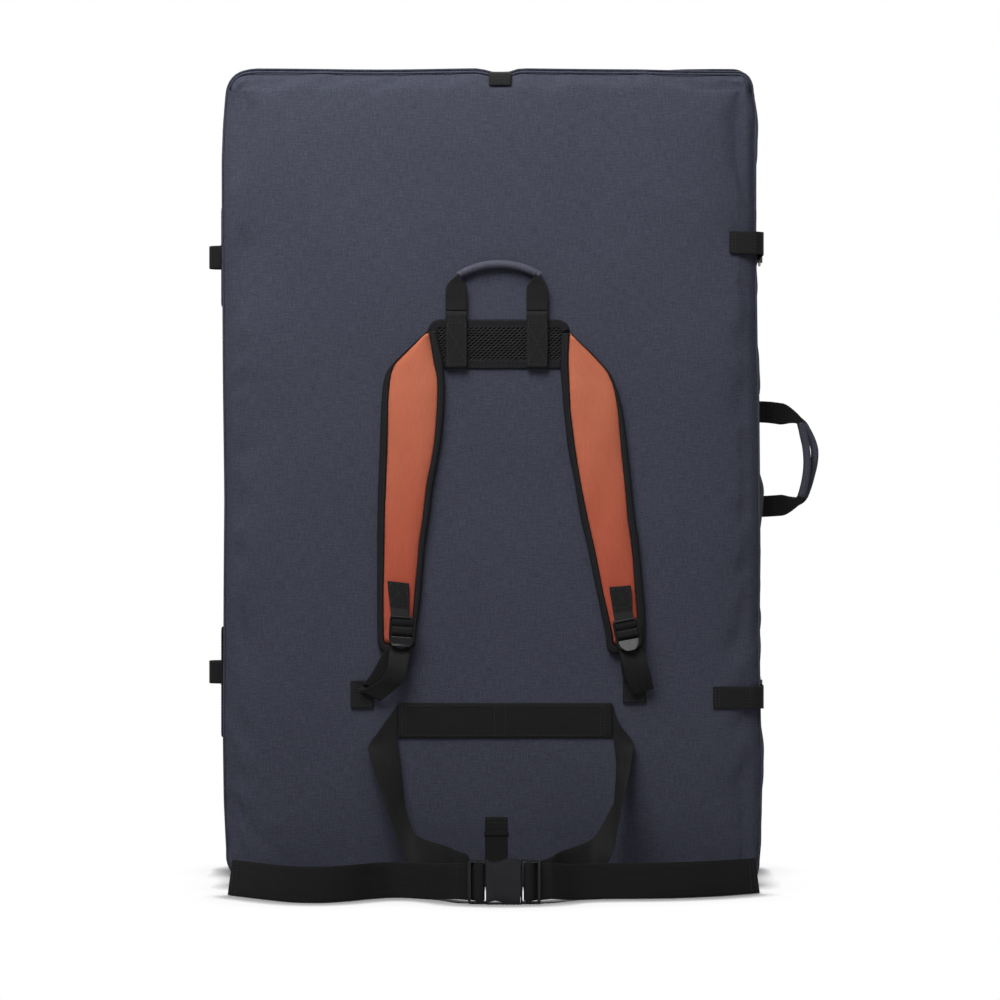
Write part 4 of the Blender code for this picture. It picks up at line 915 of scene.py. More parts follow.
@dataclass
class Stitching:
    """Runs of thread on one sub-assembly, gathered into one piece."""

    name: str
    pitch: float = 0.0032
    length: float = 0.0026
    radius: float = 0.00040
    finish: Finish = Finish.THREAD
    runs: list[tuple[Array, Array]] = None

    def run(self, path: Sequence | Array, outward: Sequence[float] | Array) -> None:
        """Take one more line of stitches.

        Args:
            path: The line, lying on the fabric.
            outward: The way out of the fabric, one or one for each point.
        """
        path = np.asarray(path, float)
        self.runs = (self.runs or []) + [(path, np.broadcast_to(np.asarray(outward, float), path.shape))]

    def lay(self, body: str) -> None:
        """Lay a small arched stitch at each pitch of every run, as one piece on a body.

        A stitch is a ring of five points carried along its length, with radius times
        the root of 1 - a^4, sunk by the radius times a^2 towards its ends.

        Args:
            body: The CAD body that carries the stitches.
        """
        places, along, outward = [], [], []
        for path, out in self.runs:
            length = arc_length(path)
            count = max(int(length[-1] / self.pitch), 1)
            spots = (np.arange(count) + 0.5) * length[-1] / count
            both = np.hstack([path, out])
            rows = np.stack([np.interp(spots, length, column) for column in both.T], 1)
            travel = unit(np.gradient(path, axis=0))
            places.append(rows[:, :3])
            outward.append(unit(rows[:, 3:]))
            along.append(unit(np.stack([np.interp(spots, length, column) for column in travel.T], 1)))
        place, up, run = np.concatenate(places), np.concatenate(outward), np.concatenate(along)
        side = unit(np.cross(run, up))
        a = np.array([-1.0, -0.7, 0.0, 0.7, 1.0])
        radius = self.radius * np.sqrt(np.maximum(1 - a**4, 0.06))
        lift = -self.radius * a**2
        turn = np.linspace(0, 2 * np.pi, 5, endpoint=False)
        offset_side = radius[:, None] * np.cos(turn)
        offset_up = radius[:, None] * np.sin(turn) + lift[:, None]
        offset_run = np.broadcast_to((a * self.length / 2)[:, None], offset_up.shape)
        points = (
            place[:, None, None]
            + run[:, None, None] * offset_run[None, ..., None]
            + side[:, None, None] * offset_side[None, ..., None]
            + up[:, None, None] * offset_up[None, ..., None]
        )
        dress(thread_mesh(self.name, points, self.finish), body, "black_webbing")


def thread_mesh(name: str, points: Array, finish: Finish) -> bpy.types.Object:
    """Many small closed tubes as one object.

    Args:
        name: The piece's name.
        points: Tubes by rows by columns by 3.
        finish: What the thread is.

    Returns:
        The object.
    """
    count, rows, columns = points.shape[:3]
    i, j = np.meshgrid(np.arange(rows - 1), np.arange(columns), indexing="ij")
    ring = (j + 1) % columns
    here, there = i * columns, (i + 1) * columns
    quads = np.stack([here + j, there + j, there + ring, here + ring], -1)
    quads = quads.reshape(1, -1, 4) + (np.arange(count) * rows * columns)[:, None, None]
    first, last = np.arange(columns), (rows - 1) * columns + np.arange(columns)[::-1]
    ends = np.stack([first, last])[None] + (np.arange(count) * rows * columns)[:, None, None]
    mesh = bpy.data.meshes.new(name)
    faces = quads.reshape(-1, 4).tolist() + ends.reshape(-1, columns).tolist()
    mesh.from_pydata((points.reshape(-1, 3) + PLACE).tolist(), [], faces)
    layer = mesh.uv_layers.new(name="cloth")
    numbers = np.empty(len(mesh.loops), np.int32)
    mesh.loops.foreach_get("vertex_index", numbers)
    spot = np.stack([numbers * 0.0007 % 1.0, numbers * 0.0003 % 1.0], 1)
    layer.data.foreach_set("uv", spot.ravel().astype(np.float32))
    mesh.materials.append(finish.material())
    mesh.shade_smooth()
    return placed(name, mesh)


# The padded halves


def grid_lines(half: float, radius: float, cell: float, corner_cells: int) -> Array:
    """Grid places from -half to half: even between the corners, closer in them.

    Args:
        half: Half the side.
        radius: The corner radius.
        cell: How far apart the places are between the corners.
        corner_cells: How many cells each corner has.

    Returns:
        The places in order.
    """
    core = half - radius
    count = max(int(round(2 * core / cell)), 2)
    side = np.linspace(core, half, corner_cells + 1)[1:]
    return np.concatenate([-side[::-1], np.linspace(-core, core, count + 1), side])


@dataclass
class Shell:
    """A flat closed form with rounded corners: a face, a ring of rows round it and a back.

    The outline is a core rectangle grown by the corner radius. A place on the grid is
    its nearest core point plus the rest, which the map x' = x root(1 - z^2 / 2) turns
    from a square into a disc.
    """

    width: float
    height: float
    radius: float
    profile: Array
    cell: float
    corner_cells: int = 5
    front_crown: float = 0.0
    back_crown: float = 0.0
    crown_reach: float = 0.07
    fullness: float = 2.3

    def _disc(self, u: Array, v: Array) -> tuple[Array, Array]:
        """Split places on the grid into their core points and the ways out of them.

        Args:
            u: Places across.
            v: Places up.

        Returns:
            The core points, and the ways out, as long as 1 at the corner's arc.
        """
        core = np.stack(
            [
                np.clip(u, self.radius - self.width / 2, self.width / 2 - self.radius),
                np.clip(v, self.radius - self.height / 2, self.height / 2 - self.radius),
            ],
            -1,
        )
        rest = (np.stack([u, v], -1) - core) / self.radius
        squared = rest[..., ::-1] ** 2
        return core, rest * np.sqrt(1 - squared / 2)

    def _full(self, way: Array) -> Array:
        """How far the corner bulges past a circle: 1 over the superellipse's norm."""
        size = np.abs(unit(way)) + 1e-9
        return 1 / np.sum(size**self.fullness, -1) ** (1 / self.fullness)

    def face(self, front: bool) -> Array:
        """A face, whose crown rises with how far inside the edge a point lies.

        Args:
            front: Whether it is the face at the profile's start.

        Returns:
            Points (x, depth, z) about the middle.
        """
        inset, depth = self.profile[0 if front else -1]
        u, v = np.meshgrid(
            grid_lines(self.width / 2, self.radius, self.cell, self.corner_cells),
            grid_lines(self.height / 2, self.radius, self.cell, self.corner_cells),
            indexing="ij",
        )
        core, way = self._disc(u, v)
        share = np.linalg.norm(way, axis=-1)
        reach = self.radius * self._full(way) - inset
        flat = core + way * reach[..., None]
        room = np.minimum(
            self.width / 2 - self.radius - np.abs(core[..., 0]),
            self.height / 2 - self.radius - np.abs(core[..., 1]),
        )
        inside = (1 - share) * (self.radius - inset) + room
        crown = self.front_crown if front else self.back_crown
        rise = crown * (1 - (1 - np.clip(inside / self.crown_reach, 0, 1)) ** 2)
        return together(flat[..., 0], depth + rise, flat[..., 1])

    def ring(self) -> Array:
        """The rows round the edge.

        Returns:
            Rows by points by 3, closing on themselves.
        """
        u = grid_lines(self.width / 2, self.radius, self.cell, self.corner_cells)
        v = grid_lines(self.height / 2, self.radius, self.cell, self.corner_cells)
        walk_u = np.concatenate([u[:-1], np.full(len(v) - 1, u[-1]), u[:0:-1], np.full(len(v) - 1, u[0])])
        walk_v = np.concatenate([np.full(len(u) - 1, v[0]), v[:-1], np.full(len(u) - 1, v[-1]), v[:0:-1]])
        core, way = self._disc(walk_u, walk_v)
        reach = self.radius * self._full(way)[None, :] - self.profile[:, :1]
        flat = core[None] + unit(way)[None] * reach[..., None]
        return together(flat[..., 0], self.profile[:, 1:], flat[..., 1])

    def patches(self, finish: Finish, row_step: float) -> list[Patch]:
        """The front, the ring and the back, all of one cloth.

        Args:
            finish: What they are made of.
            row_step: How far apart the ring's rows lie in its cloth map.

        Returns:
            The three surfaces about the middle.
        """
        ring = self.ring()
        girth = arc_length(np.vstack([ring[0], ring[0][:1]]))
        cloth = together(girth[None, :], np.arange(len(ring))[:, None] * row_step)
        front, back = (Patch(face, face[..., [0, 2]], finish) for face in (self.face(True), self.face(False)))
        return [front, Patch(ring, cloth, finish, wrap=True), back]


def edge_rows(crown: float, depth: float, edge: float, gap: float, fold: float, draw: float) -> Array:
    """The section of a half's edge, from its ground face round to its landing face.

    Rows are (inset, depth): an arc of the edge radius, the wall drawn in by a half sine,
    and an arc of the landing edge.

    Args:
        crown: How much lower the ground face's border is than its middle.
        depth: The half's depth.
        edge: Radius of the outer edge.
        gap: Distance from the fold plane to the landing face.
        fold: Radius of the landing edge.
        draw: How far the wall is drawn in.

    Returns:
        The rows.
    """
    turn = np.linspace(0, np.pi / 2, 9)
    top = depth - crown
    outer = np.stack([edge * (1 - np.sin(turn)), top - edge * (1 - np.cos(turn))], 1)
    share = np.linspace(0, 1, 10)[1:-1]
    wall = np.stack([draw * np.sin(np.pi * share), top - edge + share * (gap + fold - top + edge)], 1)
    turn = np.linspace(0, np.pi / 2, 4)
    inner = np.stack([fold * (1 - np.cos(turn)), gap + fold * (1 - np.sin(turn))], 1)
    start, end = [[edge + 0.004, top + 0.0004]], [[edge, gap]]
    return np.vstack([start, outer, wall, inner, end])


@dataclass
class PadHalf:
    """One half of the pad: its cover, foam, the flap over its opening and their sewing."""

    word: str
    side: int
    width: float = 0.587
    height: float = 0.8885
    depth: float = 0.0975
    corner: float = 0.025
    edge: float = 0.014
    gap: float = 0.0018
    crown: float = 0.003
    swell: float = 0.0025
    seam_row: int = 7

    def __post_init__(self) -> None:
        """Work out the section and the grid that every piece of the half is read from."""
        rows = edge_rows(self.crown, self.depth, self.edge, self.gap, 0.003, 0.0015)
        self.shell = Shell(
            self.width,
            self.height,
            self.corner,
            rows,
            0.0092,
            front_crown=self.crown,
            back_crown=0.0002,
            fullness=2.7,
        )

    def settle(self, points: Array) -> Array:
        """Give the plain form the photograph's uneven outline and slack, and turn it round.

        The sides move by tables of heights, faded in with the sixth power of how far out
        a point is. The right wall swells by half a sine of its depth, but not under the
        closures and more near the carry handle. The ground face gets slow waves: sines
        along and across whose phases drift, strongest near the edges, and its top edge
        stands up as a ridge. The front half's lower corner by the fold is lifted by a
        square of how far out it is, fading with height, and the rear half's foot swells.

        Args:
            points: Points (x, depth, z) about the half's middle.

        Returns:
            The same points in the pad's own frame.
        """
        x, deep, z = points[..., 0], points[..., 1], points[..., 2] + self.height / 2
        lean = 1 if self.side < 0 else 0.45
        out = np.clip(np.abs(x) / (self.width / 2), 0, 1) ** 6
        shift = np.where(x > 0, np.interp(z, *RIGHT_EDGE), np.interp(z, *LEFT_EDGE))
        belly = np.sin(np.pi * np.clip((deep - 0.004) / 0.076, 0, 1))
        strapped = 1 - sum(np.exp(-(((z - height) / 0.024) ** 2)) for height in (UPPER_Z, LOWER_Z))
        bulge = (0.0044 + 0.0014 * np.sin(46 * z + 1.2) + 0.0006 * np.sin(175 * z)) * strapped * belly
        bulge = bulge + 0.0046 * np.exp(-(((z - 0.433) / 0.019) ** 2)) * belly
        x = x + shift * out * lean + np.where(x > 0, bulge * out**3 * lean, 0.0)
        edge = np.clip(1 - (self.width / 2 - np.abs(x)) / 0.12, 0, 1)
        end = np.clip(1 - (self.height / 2 - np.abs(z - self.height / 2)) / 0.14, 0, 1)
        wave = np.sin(31 * z + 4 * np.sin(9 * x) + self.side) * edge
        wave = wave + np.sin(37 * x + 3 * np.sin(8 * z)) * end
        slack = 0.0006 * np.sin(14 * x + 5 * z) * np.sin(9 * z - 3 * x + 1.0)
        deep = deep + (0.0008 * wave + slack) * smoothstep(0.02, 0.08, deep)
        ridge = np.interp(x, *TOP_EDGE) * smoothstep(0.058, 0.078, deep) * (self.side < 0)
        tabbed = 1 - 0.8 * np.exp(-(((x - HARNESS_X) / 0.017) ** 4))
        lift = 0.0007 * np.sin(21 * x + 1.2) + ridge * tabbed
        z = z + lift * np.clip((z / self.height - 0.5) * 2, 0, 1) ** 9
        corner = np.clip((-x - 0.262) / 0.030, 0, 1) ** 2 * 0.022 * (self.side < 0)
        z = z + corner * np.exp(-z / 0.036)
        x = x - 0.009 * np.exp(-np.maximum(z, 0) / 0.045) * (x < 0) * out * (self.side > 0)
        z = np.maximum(z, 0.0)
        return np.stack([x, self.side * deep, z], -1)

    def cover_patches(self) -> list[Patch]:
        """The cover's fabrics, with the seam between ground side and wall at its row.

        Returns:
            Ground face, its wrap round the edge, the wall and the landing face.
        """
        front, back, ring = self.shell.face(True), self.shell.face(False), self.shell.ring()
        around = np.concatenate([ring, ring[:, :1]], 1)
        girth = arc_length(around[0])
        down = arc_length(self.shell.profile)
        cloth = together(girth[None, :], down[:, None])
        flat = front[..., [0, 2]]
        seam = self.seam_row + 1
        return [
            Patch(self.settle(front), flat, Finish.NAVY),
            Patch(self.settle(ring[:seam]), cloth[:seam], Finish.NAVY, wrap=True),
            Patch(self.settle(ring[seam - 1 :]), cloth[seam - 1 :], Finish.WALL, wrap=True),
            Patch(self.settle(back), back[..., [0, 2]], Finish.LANDING),
        ]

    def seam_path(self, row: int, out: float) -> Array:
        """The line of one ring row, closed on itself and moved out of the fabric.

        Args:
            row: The ring's row.
            out: How far it is moved out.

        Returns:
            The line's points.
        """
        ring = self.shell.ring()
        grown = ring[row].copy()
        grown[:, [0, 2]] += unit((ring[row] - ring[0])[:, [0, 2]]) * out
        line = self.settle(grown)
        return np.vstack([line, line[:1]])

    def swell_cover(self, cover: bpy.types.Object) -> None:
        """Blow the cover up with Cloth, held at its seams, and keep at most the swell.

        The move is cut to swell times tanh(move / swell), so it levels off at the size
        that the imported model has.

        Args:
            cover: The sewn cover, before any subdivision.
        """
        mesh = cover.data
        rest = np.empty(len(mesh.vertices) * 3)
        mesh.vertices.foreach_get("co", rest)
        rest = rest.reshape(-1, 3)
        seam = self.settle(self.shell.ring()[[self.seam_row, -3]]).reshape(-1, 3) + PLACE
        near = ((rest[:, None] - seam[None]) ** 2).sum(2).min(1) < 1e-7
        group = cover.vertex_groups.new(name="seams")
        group.add(np.flatnonzero(near).tolist(), 1.0, "REPLACE")
        cloth = cover.modifiers.new("Filling", "CLOTH")
        given = cloth.settings
        given.quality = 4
        given.mass = 0.4
        given.tension_stiffness = given.compression_stiffness = 12
        given.shear_stiffness = 4
        given.bending_stiffness = 0.4
        given.use_pressure = True
        given.uniform_pressure_force = 1.6
        given.vertex_group_mass = "seams"
        given.shrink_min = -0.012
        given.effector_weights.gravity = 0
        scene = bpy.context.scene
        for number in range(1, 16):
            scene.frame_set(number)
        held = cover.evaluated_get(bpy.context.evaluated_depsgraph_get())
        blown = np.empty(len(mesh.vertices) * 3)
        held.data.vertices.foreach_get("co", blown)
        cover.modifiers.remove(cloth)
        cover.vertex_groups.remove(group)
        scene.frame_set(1)
        move = blown.reshape(-1, 3) - rest
        size = np.linalg.norm(move, axis=1, keepdims=True)
        move *= self.swell * np.tanh(size / self.swell) / np.maximum(size, 1e-9)
        settled = rest + move
        settled[:, 2] = np.maximum(settled[:, 2], 0.0)
        fold = PLACE[1] + self.side * self.gap * 0.6
        inner = np.maximum if self.side > 0 else np.minimum
        settled[:, 1] = inner(settled[:, 1], fold)
        mesh.vertices.foreach_set("co", settled.ravel())
        mesh.update()

    def build(self) -> None:
        """Make the half's pieces and hand them to its body."""
        body = self.word + "_half"
        cover = make_piece(self.word + "_cover_fabric", self.cover_patches(), weld=2e-5)
        self.swell_cover(cover)
        subdivide(cover)
        dress(cover, body, "navy_fabric", self.word + "_cover")
        piping = self.seam_path(self.seam_row, 0.0008)
        around = np.full(len(piping), 0.0012)
        cord = tube(piping, (0, 1, 0), around, around, Finish.NAVY, 8)
        cord.caps = False
        dress(make_piece(self.word + "_seam_piping", [cord]), body, "navy_fabric")
        if self.side < 0:
            seam = self.seam_path(5, 0.0)
            seam = seam[seam[:, 2] > 0.868]
            thin = np.full(len(seam), 0.0006)
            thread = tube(seam, (0, 1, 0), thin, thin, Finish.SEAM, 8)
            dress(make_piece("front_top_seam", [thread]), body, "navy_fabric")
        self.build_foam(body)
        self.build_flap()

    def build_foam(self, body: str) -> None:
        """Three slabs inside the cover, each with soft edges, at the places of their nodes.

        Args:
            body: The half's body.
        """
        for layer, finish, slot in (
            ("landing", Finish.FIRM, "closed_cell_foam"),
            ("core", Finish.SOFT, "open_cell_foam"),
            ("base", Finish.FIRM, "closed_cell_foam"),
        ):
            node = f"{self.word}_{layer}_foam"
            low, high = node_box(node)
            size = high - low
            soft = min(0.004, size[1] * 0.3)
            turn = np.linspace(0, np.pi / 2, 4)
            deep = size[1] / 2 - (0.0050 if layer == "base" else 0.0)
            upper = np.stack([soft * (1 - np.sin(turn)), deep - soft * (1 - np.cos(turn))], 1)
            rows = np.vstack([upper, upper[::-1] * [1, -1]])
            trim = 0.070 if layer == "base" else 0.012
            slab = Shell(size[0] - trim, size[2] - trim, 0.028, rows, 0.06, 4, 0.0, 0.0)
            patches = slab.patches(finish, 0.002)
            for patch in patches:
                patch.points = patch.points + (low + high) / 2
            slab_piece = make_piece(node + "_slab", patches, weld=2e-5)
            dress(slab_piece, body, slot, node)

    def build_flap(self) -> None:
        """The flap over the opening in the top wall, a single layer, loose at the corner."""
        node = self.word + "_foam_flap"
        low, high = node_box(node)
        reach = high[0] + (0.0155 if self.side < 0 else 0.0)
        x, y = np.meshgrid(np.linspace(low[0], reach, 110), np.linspace(low[1], high[1], 18), indexing="ij")
        z = (low[2] + high[2]) / 2 + 0.00025 * np.sin(70 * x) * np.cos(50 * y)
        if self.side < 0:
            loose = smoothstep(0.150, 0.215, x) * 0.0030 - 0.0165 * np.clip((x - 0.262) / 0.0235, 0, 1) ** 2.4
            z = z + loose
        cloth = Patch(together(x, y, z), together(x, y), Finish.WALL)
        flap = make_piece(node + "_fabric", [cloth], closed=False)
        thick = flap.modifiers.new("Cloth", "SOLIDIFY")
        thick.thickness, thick.offset = 0.0012, 0.0
        dress(flap, node, "black_fabric", node)
        rim = Stitching(node + "_stitches")
        inset, top = 0.003, (low[2] + high[2]) / 2 + 0.0007
        corners = [(low[0], low[1]), (high[0], low[1]), (high[0], high[1]), (low[0], high[1])]
        middle = np.mean(corners, axis=0)
        for a, b in zip(corners, corners[1:] + corners[:1]):
            ends = [np.append(np.array(p) + np.sign(middle - p) * inset, top) for p in (a, b)]
            rim.run(np.linspace(*ends, 30), (0, 0, 1))
        rim.lay(node)


@dataclass
class Fold:
    """The hinge strip between the halves, and the patches and lash loops on its side."""

    loop_width: float = 0.025

    def build(self) -> None:
        """Make the strip, two patches and two loops."""
        self.build_strip()
        for word in ("upper", "lower"):
            self.build_patch(word)
            self.build_loop(word)

    def build_strip(self) -> None:
        """A fabric strip, out along one landing face, round half a circle and back."""
        low, high = node_box("fold_hinge_strip")
        rise = (high[1] - low[1]) / 2 - 0.0004
        leaf = np.linspace(high[0], low[0] + rise + 0.0004, 24)
        turn = np.linspace(0, np.pi, 13)[1:-1]
        x = np.concatenate([leaf, leaf[-1] - rise * np.sin(turn), leaf[::-1]])
        y = np.concatenate([np.full(24, -rise), -rise * np.cos(turn), np.full(24, rise)])
        z = np.linspace(low[2], high[2], 90)
        path = together(x, y, 0.0)
        points = together(x[:, None], y[:, None], z[None, :])
        cloth = together(arc_length(path)[:, None], z[None, :])
        strip_piece = make_piece("fold_hinge_fabric", [Patch(points, cloth, Finish.WALL)], closed=False)
        thick = strip_piece.modifiers.new("Cloth", "SOLIDIFY")
        thick.thickness, thick.offset = 0.0008, 0.0
        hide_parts("fold_hinge_strip")
        length = float(arc_length(path)[-1])
        ends = ((PLACE[0], PLACE[1] + way * rise, 0) for way in (-1, 1))
        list(ends)
        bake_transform(strip_piece)
        LOG.info("%s bends from front_half to rear_half", strip_piece.name)

    def build_patch(self, word: str) -> None:
        """A doubled fabric patch with a rolled edge and a stitch line round it.

        Args:
            word: Which of the two.
        """
        node = "hinge_side_patch_" + word
        low, high = node_box(node)
        size, middle = high - low, (low + high) / 2
        turn = np.linspace(0, np.pi / 2, 4)
        half = size[0] / 2
        upper = np.stack([half * (1 - np.sin(turn)), half * np.cos(turn)], 1)
        rows = np.vstack([upper, upper[::-1][1:] * [1, -1]])
        form = Shell(size[1], size[2], 0.006, rows, 0.006, 3)
        patches = form.patches(Finish.PATCH, 0.0005)
        for patch in patches:
            patch.points = patch.points[..., [1, 0, 2]] * [-1, 1, 1] + middle
        for face in patches[::2]:
            face.cloth = face.points[..., [1, 2]]
        dress(make_piece(node + "_fabric", patches, weld=2e-5), "front_half", "black_fabric", node)
        line = Stitching(node + "_stitches")
        ring = Shell(size[1] - 0.006, size[2] - 0.006, 0.004, rows[:1], 0.006, 3).ring()[0]
        ring = np.vstack([ring, ring[:1]])[:, [1, 0, 2]] * [0, 1, 1] + middle
        ring[:, 0] = low[0] - 0.0001
        line.run(ring, (-1, 0, 0))
        line.lay("front_half")

    def build_loop(self, word: str) -> None:
        """A webbing arch whose rise is the reach times the sine to the power 0.8.

        Args:
            word: Which of the two.
        """
        node = "lash_loop_" + word
        low, high = node_box(node)
        middle, lift = (low + high) / 2, WEB / 2
        reach = high[0] - low[0] - WEB
        foot, half = 0.012, (high[1] - low[1]) / 2 - 0.012
        share = np.linspace(0, 1, 17)
        flat = np.array([half + foot / 2, half + foot])
        y = np.concatenate([-flat[::-1], -half * np.cos(np.pi * share), flat])
        rise = np.concatenate([[0, 0], reach * np.sin(np.pi * share) ** 0.8, [0, 0]])
        path = together(high[0] - lift - rise, middle[1] + y, middle[2])
        web = strip(evenly(path, 60), (0, 0, 1), self.loop_width, Finish.WEBBING)
        loop = make_piece(node + "_webbing", [web])
        dress(loop, "front_half", "black_webbing", node)
        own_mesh(loop)
        feet = Stitching(node + "_stitches")
        for way in (-1, 1):
            for near in (0.003, 0.009):
                z = np.linspace(middle[2] - 0.0105, middle[2] + 0.0105, 12)
                feet.run(together(high[0] - WEB, middle[1] + way * (half + near), z), (-1, 0, 0))
        feet.lay("front_half")


# Webbing and straps


@dataclass
class Closure:
    """One closure: its sewn tab, its strap with the hook, and the keeper that it reaches.

    Distances along the wall run from its origin: into the pad, back along y, and across.
    The rise is how far the keeper stands off the wall.
    """

    word: str
    origin: Triple
    inward: Triple
    across: Triple
    tab: float
    seat: float = 0.0
    width: float = 0.026
    pivot: float = -0.083
    keeper: float = 0.050
    rise: float = 0.0036
    edge: float = 0.014
    crown: float = 0.003
    aside: float = 0.0

    @property
    def bar(self) -> float:
        """Where the hook's bar lies along y, four of the hook's lengths before the keeper."""
        return self.keeper - 0.008 - 0.012 - 0.0056 - 0.0035

    def at(self, into: Array | float, back: Array | float, aside: Array | float = 0.0) -> Array:
        """Points from distances into the pad, back along y and across the strap."""
        axes = (np.array(way) for way in (self.origin, self.inward, (0.0, 1.0, 0.0), self.across))
        return Spot(*axes).at(into, back, aside)

    def tab_path(self) -> Array:
        """The tab from its stitched end on the ground face, over the round edge to the wall.

        The edge is a quarter circle, cut off at the seat where the closure has one.

        Returns:
            The middle line.
        """
        lift = FIT + WEB / 2
        turn = np.linspace(0, np.pi / 2, 9)
        top = HALF_DEPTH - self.crown
        arc_in = self.edge - (self.edge + lift) * np.sin(turn)
        arc_y = -(top - self.edge) - (self.edge + lift) * np.cos(turn)
        run_in = np.linspace(self.tab, self.edge, 12)[:-1]
        rise = self.crown * (1 - (1 - np.clip((run_in - self.edge) / 0.07, 0, 1)) ** 2)
        run_y = -(top + rise + lift)
        into = np.concatenate([run_in, arc_in])
        back = np.concatenate([run_y, arc_y])
        if self.seat:
            keep = into < self.seat + 0.004
            back = np.where(keep, np.maximum(back, back[np.argmax(keep)]), back)
            into = np.where(keep, np.maximum(into, self.seat - lift), into)
        wall = self.seat - lift
        into = np.concatenate([into, [wall, wall]])
        back = np.concatenate([back, [back[-1] + 0.002, self.pivot]])
        order = np.concatenate([[True], np.hypot(np.diff(into), np.diff(back)) > 1e-5])
        return self.at(into[order], back[order], self.aside)

    def bar_tack(self) -> list[Patch]:
        """The doubled fold across a long tab, 16 mm from its sewn end.

        Returns:
            The fold's surface, or nothing for a short tab.
        """
        if self.tab < 0.06:
            return []
        path = evenly(self.tab_path(), 280)
        length = arc_length(path)
        fold = path[(length > 0.0155) & (length < 0.0200)] + np.array([0.0, -0.0011, 0.0])
        return [strip(fold, self.across, self.width + 0.0005, Finish.WEBBING, thickness=0.0012)]

    def strap_path(self) -> Array:
        """The strap along the wall, round the hook's bar in half a circle and back on itself.

        Returns:
            The middle line.
        """
        low = self.seat - FIT - WEB / 2
        hook = self.seat - (self.rise + WEB + FIT + 0.001)
        over = 0.001 + FIT + WEB / 2
        bar = self.bar
        turn = np.radians(90 - 180 * np.linspace(0, 1, 9))
        under = low - WEB - FIT
        near, far = [low, low, hook + over], [hook - over, under, under]
        into = np.concatenate([near, hook + over * np.sin(turn), far])
        near, far = [self.pivot + FIT, bar - 0.022, bar], [bar, bar - 0.022, bar - 0.044]
        back = np.concatenate([near, bar + 0.0035 + over * np.cos(turn), far])
        return self.at(into, back)

    def keeper_path(self) -> Array:
        """The keeper as a bridge: a foot, a slope, the span over the wall, and the same again.

        Returns:
            The middle line.
        """
        low, high = self.seat - FIT - WEB / 2, self.seat - self.rise - WEB / 2
        half, step = 0.013, 0.016
        aside = np.array([-(step + 0.009), -step, -half, 0, half, step, step + 0.009])
        into = np.array([low, low, high, high - 0.0004, high, low, low])
        return self.at(into, self.keeper, aside)

    def build(self) -> None:
        """Make the tab, strap, keeper and hook, and sew them down."""
        web = strip(evenly(self.tab_path(), 70), self.across, self.width - 0.0015, Finish.WEBBING)
        tab = make_piece(f"closure_tab_{self.word}_webbing", [web, *self.bar_tack()])
        dress(tab, "front_half", "black_webbing", "closure_tab_" + self.word)
        strap = make_piece(
            f"closure_strap_{self.word}_webbing",
            [strip(evenly(self.strap_path(), 170), self.across, self.width, Finish.WEBBING)],
        )
        dress(strap, "closure_" + self.word, "black_webbing", "closure_strap_" + self.word)
        keeper = make_piece(
            f"closure_keeper_{self.word}_webbing",
            [strip(evenly(self.keeper_path(), 60), (0, 1, 0), 0.016, Finish.WEBBING)],
        )
        dress(keeper, "rear_half", "black_webbing", "closure_keeper_" + self.word)
        hook = carried(
            f"closure_hook_{self.word}_metal", "closure_hook_" + self.word, Finish.METAL, 0.0004
        )
        dress(hook, "closure_" + self.word, "hook_metal", "closure_hook_" + self.word)
        self.sew()

    def sew(self) -> None:
        """Stitch the tab to the ground face, and the strap's loop to itself."""
        half = self.width / 2 - 0.0025
        aside = np.linspace(-half, half, 14)
        outward = -np.array(self.inward)
        path = evenly(self.tab_path(), 70)
        travel = unit(np.gradient(path, axis=0))
        out = unit(np.cross(travel, np.array(self.across)))
        out *= np.sign(np.sum(out[:1] * np.array([[0, -1, 0]])))
        sewn = Stitching(f"closure_tab_{self.word}_stitches")
        length = arc_length(path)
        for place in (0.003, 0.0065, max(self.tab * 0.75, 0.010)):
            spot = int(np.argmin(np.abs(length - place)))
            line = path[spot] + out[spot] * WEB / 2 + aside[:, None] * np.array(self.across)
            sewn.run(line, out[spot])
        sewn.lay("front_half")
        loop = Stitching(f"closure_strap_{self.word}_stitches")
        level = self.seat - 2 * (WEB + FIT)
        for back in (0.042, 0.038, 0.026):
            loop.run(self.at(level, self.bar - back, aside), outward)
        loop.lay("closure_" + self.word)


